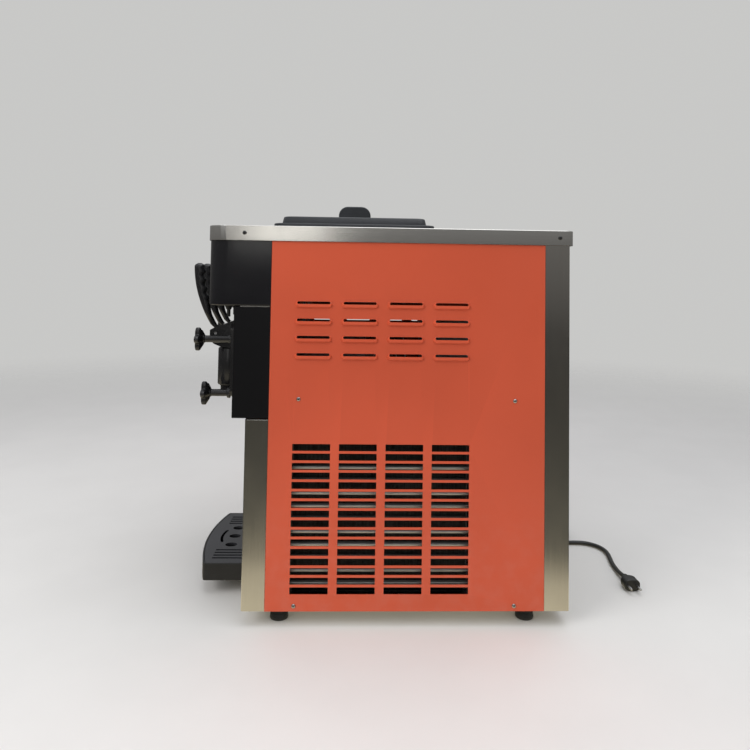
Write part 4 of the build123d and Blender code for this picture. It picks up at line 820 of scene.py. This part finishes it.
def make_valve_bosses():
    """Thick round jackets on the faucet's three valve bosses."""
    bm = bmesh.new()
    for where in ("right", "centre", "left"):
        mid = middle("draw_valve_" + where)[0]
        jacket = [(19.1, 424.5), (22.6, 424.5), (24.0, 426.5), (24.0, 501.5), (22.8, 504.0),
                  (19.1, 504.5), (19.1, 424.5)]
        lathe(bm, in_metres(jacket), placed(mid.x, mid.y, 0), steps=48)
    bmesh.ops.recalc_face_normals(bm, faces=bm.faces)
    add_piece("valve_boss_jackets", bm, "cabinet", "black_nylon", 40)


def make_pivot_rod():
    """Steel rod that the handles turn on, its ends chamfered and just inside the block."""
    node = "handle_pivot_rod"
    mid, size = middle(node)
    half = size.x / 2 - 2.2 * MM
    rod = [(0, -half), (3.2 * MM, -half), (3.8 * MM, 0.6 * MM - half),
           (3.8 * MM, half - 0.6 * MM), (3.2 * MM, half), (0, half)]
    bm = bmesh.new()
    lathe(bm, rod, placed(*mid, turn=TO_RIGHT), steps=32)
    bmesh.ops.recalc_face_normals(bm, faces=bm.faces)
    piece = add_piece("handle_pivot_rod_pin", bm, "cabinet", SLOT_OF[node], 30)
    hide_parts(node)


def thicken(bm, along):
    """Extrudes every face of a flat shape into a solid."""
    grown = bmesh.ops.extrude_face_region(bm, geom=list(bm.faces), use_keep_orig=True)["geom"]
    moved = [g for g in grown if isinstance(g, bmesh.types.BMVert)]
    bmesh.ops.translate(bm, vec=along, verts=moved)


def rounded_face(bm, x, y, z, width, depth, radius, segments=8):
    """A level rounded rectangle, as one face that looks up."""
    verts = bmesh.ops.create_grid(bm, x_segments=1, y_segments=1, size=0.5)["verts"]
    bmesh.ops.transform(bm, matrix=placed(x, y, z, width, depth), verts=verts)
    bmesh.ops.bevel(bm, geom=verts, offset=radius, segments=segments, affect="VERTICES",
                    profile=0.5, material=-1)
    return max((f for f in bm.faces if abs(f.calc_center_median().z - z) < 1e-6),
               key=lambda f: f.calc_area())


def step(bm, face, rise, inset):
    """Extrudes a face by rise and draws its new outline in by inset."""
    grown = bmesh.ops.extrude_discrete_faces(bm, faces=[face])["faces"][0]
    bmesh.ops.translate(bm, vec=(0, 0, rise), verts=grown.verts)
    if inset:
        centre = grown.calc_center_median()
        xs = [v.co.x for v in grown.verts]
        ys = [v.co.y for v in grown.verts]
        wide, deep = max(xs) - min(xs), max(ys) - min(ys)
        bmesh.ops.scale(bm, vec=((wide - 2 * inset) / wide, (deep - 2 * inset) / deep, 1),
                        space=Matrix.Translation(-centre), verts=grown.verts)
    return grown


# Rise and inset in mm: flange, gutter, raised panel, rolled edge, shallow well
LID_STEPS = [
    (1.2, -1.0), (4.6, 0.0), (1.6, 0.9), (0.4, 1.6), (0.0, 8.5), (-1.2, 1.4), (0.0, 2.2), (2.6, 0.4),
    (11.0, 2.4), (1.9, 1.0), (0.7, 2.0), (0.0, 6.0), (-0.6, 1.2), (-1.8, 1.0), (0.0, 2.0),
]
LID_PLUG_STEPS = [(0.0, 20.0), (11.0, 1.0), (6.0, 3.0)]
TAB_HALF, TAB_HEIGHT, TAB_CORNER, TAB_T = 34.5, 36.0, 20.0, 7.2


def make_lid(side):
    """Loose hopper lid: rolled flange, raised panel with a shallow well, and a half-round tab."""
    node = "hopper_lid_" + side
    mid, size = middle(node)
    low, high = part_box(node)
    bm = bmesh.new()
    face = rounded_face(bm, mid.x, mid.y, low[2], size.x - 2 * MM, size.y - 2 * MM, 21 * MM)
    copies = bmesh.ops.duplicate(bm, geom=[face])["geom"]
    below = next(g for g in copies if isinstance(g, bmesh.types.BMFace))
    bmesh.ops.reverse_faces(bm, faces=[below])
    for rise, inset in LID_STEPS:
        face = step(bm, face, rise * MM, inset * MM)
    for rise, inset in LID_PLUG_STEPS:
        below = step(bm, below, rise * MM, inset * MM)
    bmesh.ops.remove_doubles(bm, verts=bm.verts, dist=0.01 * MM)
    bmesh.ops.recalc_face_normals(bm, faces=bm.faces)
    lid = add_piece(node + "_shell", bm, body_holding(node), SLOT_OF[node], 32)
    soften(lid, 0.5 * MM, 2, 32)
    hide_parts(node)
    bm = bmesh.new()
    reach, top, corner = TAB_HALF * MM, high[2], TAB_CORNER * MM
    outline = [(-reach, top - TAB_HEIGHT * MM)]
    outline += [(-reach + corner * (1 - cos(a)), top - corner * (1 - sin(a)))
                for a in (radians(d) for d in range(0, 91, 10))]
    outline += [(-y, z) for y, z in reversed(outline)]
    near = mid.x - TAB_T / 2 * MM
    bm.faces.new([bm.verts.new((near, mid.y + y, z)) for y, z in outline])
    bmesh.ops.remove_doubles(bm, verts=bm.verts, dist=0.01 * MM)
    thicken(bm, (TAB_T * MM, 0, 0))
    bmesh.ops.recalc_face_normals(bm, faces=bm.faces)
    tab = add_piece(node + "_tab", bm, body_holding(node), SLOT_OF[node], 32)
    soften(tab, 2.2 * MM, 4, 40)


# ---------------------------------------------------------------- condenser, feet, screws, controls


FIN_PITCH = 2.6 * MM
FIN_T = 0.35 * MM
END_PLATE_T = 1.6 * MM


def make_fins():
    """Close aluminium fins between two thicker end plates, with a dark core behind them."""
    node = "condenser_fins"
    mid, size = middle(node)
    bm = bmesh.new()
    count = int(size.y / FIN_PITCH)
    for k in range(count + 1):
        thick = FIN_T if 0 < k < count else END_PLATE_T
        y = mid.y - size.y / 2 + 1 * MM + (size.y - 2 * MM) * k / count
        deep = size.x - (1.2 * MM if k % 9 else 0.4 * MM)
        block(bm, Matrix.Translation((mid.x - (size.x - deep) / 2, y, mid.z)), (deep, thick, size.z))
    block(bm, Matrix.Translation((mid.x - 14 * MM, mid.y, mid.z)),
          (10 * MM, size.y - 4 * MM, size.z - 2 * MM))
    fins = add_piece("condenser_fin_pack", bm, "cabinet", SLOT_OF[node], 30)
    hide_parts(node)


FOOT_R = 18 * MM


def make_feet():
    """Levelling feet: ribbed rubber pads under a collar and a threaded neck."""
    node = "leveling_feet"
    mid, size = middle(node)
    bm = bmesh.new()
    profile = [(0, 0), (16.4, 0), (17.6, 0.8), (18.0, 2.2), (17.6, 5.0), (17.6, 6.2), (17.0, 6.8),
               (17.4, 7.4), (16.8, 10.6), (15.2, 12.4), (14.6, 13.0), (14.6, 17.2), (13.8, 18.0),
               (8.4, 18.0), (7.9, 19.0), (8.3, 19.8), (7.9, 20.6), (8.3, 21.4), (7.9, 22.2),
               (8.3, 23.0), (7.9, 23.8), (8.0, 29.8), (0, 29.8)]
    for x in (-1, 1):
        for y in (-1, 1):
            at = placed(mid.x + x * (size.x / 2 - FOOT_R), mid.y + y * (size.y / 2 - FOOT_R), 0)
            lathe(bm, in_metres(profile), at, steps=40)
    bmesh.ops.recalc_face_normals(bm, faces=bm.faces)
    feet = add_piece("leveling_feet_pads", bm, "cabinet", SLOT_OF[node], 28)
    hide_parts(node)


SIDE_SPOTS = [(-142.5, 428.0), (275.5, 428.0), (-144.5, 40.0), (275.5, 40.0)]
RIM_SPOTS = [(-252.0, 745.5), (362.0, 745.5)]


def make_screws():
    """Pan-head screws whose cross recesses are painted shade, black blocks on each head: bright heads
    on the panels, blackened ones on the rim.
    """
    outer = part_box("right_side_panel")[1][0] - 4.0 * MM
    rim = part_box("top_deck")[1][0]
    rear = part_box("rear_panel")[1][1]
    head = [(0, -0.5), (3.7, -0.5), (4.0, 0.0), (3.9, 0.9), (3.2, 1.7), (2.2, 2.05), (0, 2.15)]
    sides = ((1, TO_RIGHT), (-1, TO_LEFT))
    bright = [(outer * s, y * MM, z * MM, turn) for s, turn in sides for y, z in SIDE_SPOTS]
    bright += [(x * 240 * MM, rear, z * MM, TO_REAR) for x in (-1, 1) for z in (55, 695)]
    dark = [(rim * s, y * MM, z * MM, turn) for s, turn in sides for y, z in RIM_SPOTS]
    blackened = moulded("blackened screws", (0.02, 0.02, 0.02), 0.35, 400, 0.00004)
    for name, spots, finish in (("panel_screw_heads", bright, None),
                                ("rim_screw_heads", dark, blackened)):
        heads, shade_blocks = bmesh.new(), bmesh.new()
        for k, (x, y, z, turn) in enumerate(spots):
            at = placed(x, y, z, turn=turn @ Matrix.Rotation(0.5 + 1.3 * k, 4, "Z"))
            lathe(heads, in_metres(head), at, steps=28)
            # Painted shade: each cross recess is two crossed black blocks standing on the head, not a
            # cut
            for quarter in (0, 90):
                block(shade_blocks, at @ Matrix.Rotation(radians(quarter), 4, "Z") @
                      Matrix.Translation((0, 0, 1.75 * MM)), (3.8 * MM, 0.95 * MM, 0.9 * MM))
        piece = add_piece(name, heads, "cabinet", "zinc_steel", 40, finish)
        if name == "panel_screw_heads":
            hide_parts("panel_screws")
        # The painted shade of the recesses, in black nylon
        shade_piece = add_piece(name + "_painted_shade_blocks", shade_blocks, "cabinet", "black_nylon", 30)
        shade_piece.parent = piece


HEAD_BOW = 12 * MM
KEY_SPOTS = (-124, -98, -72, 72, 98, 124)


def bowed_front(x):
    """Y of the head's bowed front at x."""
    low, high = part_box("head_cover")
    radius = (high[0] ** 2 + HEAD_BOW**2) / (2 * HEAD_BOW)
    return low[1] + radius - (radius**2 - x**2) ** 0.5


def make_controls():
    """Display window and touch keys on the control panel, without any lettering."""
    low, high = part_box("control_panel")
    skin("control_panel", 0.5 * MM)
    z = (low[2] + high[2]) / 2 + 6 * MM
    bm = bmesh.new()
    block(bm, Matrix.Translation((0, low[1] + 0.1 * MM, z)), (96 * MM, 1.4 * MM, 38 * MM))
    window = add_piece("display_window", bm, "cabinet", "black_gloss_case", 30, display_glass())
    soften(window, 0.5 * MM)
    bm = bmesh.new()
    for k, x in enumerate(x * MM for x in KEY_SPOTS):
        at = placed(x, bowed_front(x) - 2.0 * MM, z, turn=TO_FRONT)
        lathe(bm, in_metres([(6.2, 0), (6.6, 0.5), (8.2, 0.5), (8.6, 0), (6.2, 0)]), at, steps=40)
        if k % 2:
            lathe(bm, in_metres([(0, 0.4), (1.8, 0.4), (2.0, 0), (0, 0)]), at, steps=20)
        else:
            block(bm, at @ Matrix.Translation((0, 0, 0.2 * MM)), (1.4 * MM, 6.0 * MM, 0.5 * MM))
    bmesh.ops.recalc_face_normals(bm, faces=bm.faces)
    add_piece("touch_keys", bm, "cabinet", "black_gloss_case", 40, key_print())


def stadium(x, front, back, radius, steps=8):
    """A closed slot outline along Y with round ends."""
    points = []
    for centre, start in ((back - radius, 0.0), (front + radius, pi)):
        angles = [start + pi * k / steps for k in range(steps + 1)]
        points += [(x + radius * cos(a), centre + radius * sin(a)) for a in angles]
    return points


def curved_slot(half, ends, crown, radius, steps=10):
    """A closed outline round a shallow arc that bulges towards the user."""
    rise = ends - crown
    bend = (half**2 + rise**2) / (2 * rise)
    reach = asin(half / bend)
    points = []
    for r, way in ((bend + radius, 1), (bend - radius, -1)):
        angles = [reach * (2 * k / steps - 1) for k in range(steps + 1)]
        points += [(r * sin(way * a), crown + bend - r * cos(a)) for a in angles]
        x, y = way * bend * sin(reach), crown + bend - bend * cos(reach)
        points.append((x + way * radius * cos(reach), y + radius * sin(reach)))
    return points


def outline_of(node):
    """The outer outline of a plate's upper face, as (x, y) pairs in order."""
    source = bmesh.new()
    source.from_mesh(frame["nodes"][node].data)
    bmesh.ops.remove_doubles(source, verts=source.verts, dist=0.01 * MM)
    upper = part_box(node)[1][2] - 0.1 * MM
    top = {f for f in source.faces if f.normal.z > 0.9 and f.calc_center_median().z > upper}
    rim = [e for e in source.edges if len(top.intersection(e.link_faces)) == 1]
    at = start = max((v for e in rim for v in e.verts), key=lambda v: v.co.x)
    outline, came = [], None
    while came is None or at is not start:
        outline.append((at.co.x, at.co.y))
        came = next(e for e in at.link_edges if e in rim and e is not came)
        at = came.other_vert(at)
    source.free()
    return outline


SIDE_SLOTS = [side * (75.5 + 13.5 * k) for side in (1, -1) for k in range(4)]
DRAIN_SPOTS = (-47.5, 0, 47.5)


def make_grille():
    """Lift-out grille, level with the tray: side slots, three drain holes and a curved slot."""
    node = "tray_grille"
    holes = [stadium(x * MM, -331 * MM, -258 * MM, 3.3 * MM) for x in SIDE_SLOTS]
    around = [tau * k / 32 for k in range(32)]
    holes += [[(x * MM + 10.5 * MM * cos(a), -303 * MM + 13 * MM * sin(a)) for a in around]
              for x in DRAIN_SPOTS]
    holes.append(curved_slot(32 * MM, -326 * MM, -331.5 * MM, 3 * MM))
    bm = bmesh.new()
    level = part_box("drip_tray")[1][2] - 0.4 * MM
    for points in [outline_of(node)] + holes:
        verts = [bm.verts.new((x, y, level)) for x, y in points]
        for a, b in zip(verts, verts[1:] + verts[:1]):
            bm.edges.new((a, b))
    bmesh.ops.triangle_fill(bm, use_beauty=True, use_dissolve=False, edges=bm.edges, normal=(0, 0, 1))
    thicken(bm, (0, 0, -5 * MM))
    bmesh.ops.recalc_face_normals(bm, faces=bm.faces)
    grille = add_piece("tray_grille_plate", bm, body_holding(node), SLOT_OF[node], 32)
    soften(grille, 0.4 * MM, 2, 50)
    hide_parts(node)


# ---------------------------------------------------------------- settings and operators


class SoftServeSettings(bpy.types.PropertyGroup):
    """Sizes and colours that a user may change before building."""

    sheet_edge: bpy.props.FloatProperty(
        name="Sheet edge", description="Rounding along sheet metal edges", default=0.0005,
        min=0.0, unit="LENGTH")
    casting_edge: bpy.props.FloatProperty(
        name="Moulding edge", description="Rounding along moulded edges", default=0.0012,
        min=0.0, unit="LENGTH")
    floor_colour: bpy.props.FloatVectorProperty(
        name="Floor", description="Colour of the studio floor", default=(0.80, 0.79, 0.77),
        subtype="COLOR", size=3)
    backdrop_colour: bpy.props.FloatVectorProperty(
        name="Backdrop", description="Colour behind the machine", default=(0.58, 0.58, 0.57),
        subtype="COLOR", size=3)


def settings():
    return bpy.context.scene.soft_serve


class SOFTSERVE_OT_camera(bpy.types.Operator):
    """Set up the camera"""
    bl_idname = "softserve.camera"
    bl_label = "Camera"

    def execute(self, context):
        make_camera()
        return {"FINISHED"}


class SOFTSERVE_OT_cord(bpy.types.Operator):
    """Lay the power cord with its strain relief and plug"""
    bl_idname = "softserve.cord"
    bl_label = "Power cord"

    def execute(self, context):
        make_cord()
        return {"FINISHED"}


class SOFTSERVE_OT_stage(bpy.types.Operator):
    """Lay the floor and set the lights"""
    bl_idname = "softserve.stage"
    bl_label = "Stage"

    def execute(self, context):
        bpy.context.scene.view_settings.view_transform = "Standard"
        make_world(settings().backdrop_colour)
        make_floor(settings().floor_colour)
        add_light("window light", (1.9, -2.2, 1.9), (0.1, -0.1, 0.5), (1.6, 1.6), 47,
                  (1.0, 0.98, 0.96), False)
        add_light("ceiling light", (0.4, 0.4, 2.6), (0, 0, 0.3), (2.4, 2.4), 34, (0.97, 0.98, 1.0))
        add_light("room fill", (2.6, 1.8, 1.0), (0, 0.1, 0.4), (1.8, 1.8), 8, (1, 0.97, 0.93), False)
        return {"FINISHED"}


class SOFTSERVE_OT_finishes(bpy.types.Operator):
    """Give every CAD node the finish of its material slot"""
    bl_idname = "softserve.finishes"
    bl_label = "Finishes"

    def execute(self, context):
        for node, piece in frame["nodes"].items():
            piece.data.materials.clear()
            piece.data.materials.append(finish_of(SLOT_OF[node]))
        return {"FINISHED"}


class SOFTSERVE_OT_cabinet(bpy.types.Operator):
    """Skin the front panel, deck, head and housing, and model the controls, screws and feet"""
    bl_idname = "softserve.cabinet"
    bl_label = "Cabinet"

    def execute(self, context):
        edge = settings().sheet_edge
        for node in ("front_lower_panel", "top_deck", "head_cover", "cylinder_housing"):
            skin(node, edge)
        for node in ("housing_top_plate", "hopper_right", "hopper_left", "power_switch"):
            skin(node)
        make_controls()
        make_screws()
        make_feet()
        return {"FINISHED"}


class SOFTSERVE_OT_lids(bpy.types.Operator):
    """Model the two hopper lids"""
    bl_idname = "softserve.lids"
    bl_label = "Hopper lids"

    def execute(self, context):
        for side in ("right", "left"):
            make_lid(side)
        return {"FINISHED"}


class SOFTSERVE_OT_faucet(bpy.types.Operator):
    """Model the faucet, draw handles, star knobs, valves and switches"""
    bl_idname = "softserve.faucet"
    bl_label = "Faucet"

    def execute(self, context):
        edge = settings().casting_edge
        skin("faucet_block", edge, 3)
        for node in ("nozzle_caps", "faucet_studs"):
            skin(node, 0.3 * MM)
        make_valve_bosses()
        make_pivot_rod()
        for where in ("right", "centre", "left"):
            make_handle(where)
            skin("draw_valve_" + where, 0.4 * MM)
            skin("draw_switch_" + where, 0.4 * MM)
        for level in ("upper", "lower"):
            for side in ("right", "left"):
                make_knob(f"star_knob_{level}_{side}")
        return {"FINISHED"}


class SOFTSERVE_OT_tray(bpy.types.Operator):
    """Skin the drip tray and model its grille"""
    bl_idname = "softserve.tray"
    bl_label = "Drip tray"

    def execute(self, context):
        skin("drip_tray", 0.9 * MM, 3)
        make_grille()
        return {"FINISHED"}


WORKS = (
    "condenser_tubes", "refrigerant_pipes", "compressor", "drive_motor", "fan_motor", "fan_blade",
    "motor_pulley", "reducer_pulley_right", "reducer_pulley_left", "drive_belt",
    "freezing_cylinders", "cylinder_insulation", "air_tubes", "beater_right", "beater_left",
)


class SOFTSERVE_OT_works(bpy.types.Operator):
    """Model the condenser fins and smooth the works inside"""
    bl_idname = "softserve.works"
    bl_label = "Works"

    def execute(self, context):
        make_fins()
        for node in WORKS:
            skin(node)
        return {"FINISHED"}


OPERATORS = (
    SOFTSERVE_OT_camera, SOFTSERVE_OT_cord, SOFTSERVE_OT_stage, SOFTSERVE_OT_finishes,
    SOFTSERVE_OT_cabinet, SOFTSERVE_OT_lids, SOFTSERVE_OT_faucet, SOFTSERVE_OT_tray, SOFTSERVE_OT_works,
)


class SOFTSERVE_PT_panel(bpy.types.Panel):
    """Buttons for each group of pieces"""
    bl_idname = "SOFTSERVE_PT_panel"
    bl_label = "Soft Serve Machine"
    bl_space_type = "VIEW_3D"
    bl_region_type = "UI"
    bl_category = "Soft Serve"

    def draw(self, context):
        for name in ("sheet_edge", "casting_edge", "floor_colour", "backdrop_colour"):
            self.layout.prop(context.scene.soft_serve, name)
        for operator in OPERATORS:
            self.layout.operator(operator.bl_idname)


CLASSES = (SoftServeSettings, *OPERATORS, SOFTSERVE_PT_panel)


def register():
    for cls in CLASSES:
        bpy.utils.register_class(cls)
    bpy.types.Scene.soft_serve = bpy.props.PointerProperty(type=SoftServeSettings)


def unregister():
    del bpy.types.Scene.soft_serve
    for cls in reversed(CLASSES):
        bpy.utils.unregister_class(cls)


def main():
    register()
    for operator in OPERATORS:
        group, name = operator.bl_idname.split(".")
        getattr(getattr(bpy.ops, group), name)()
    bpy.context.view_layer.update()


if __name__ == "__main__":
    main()
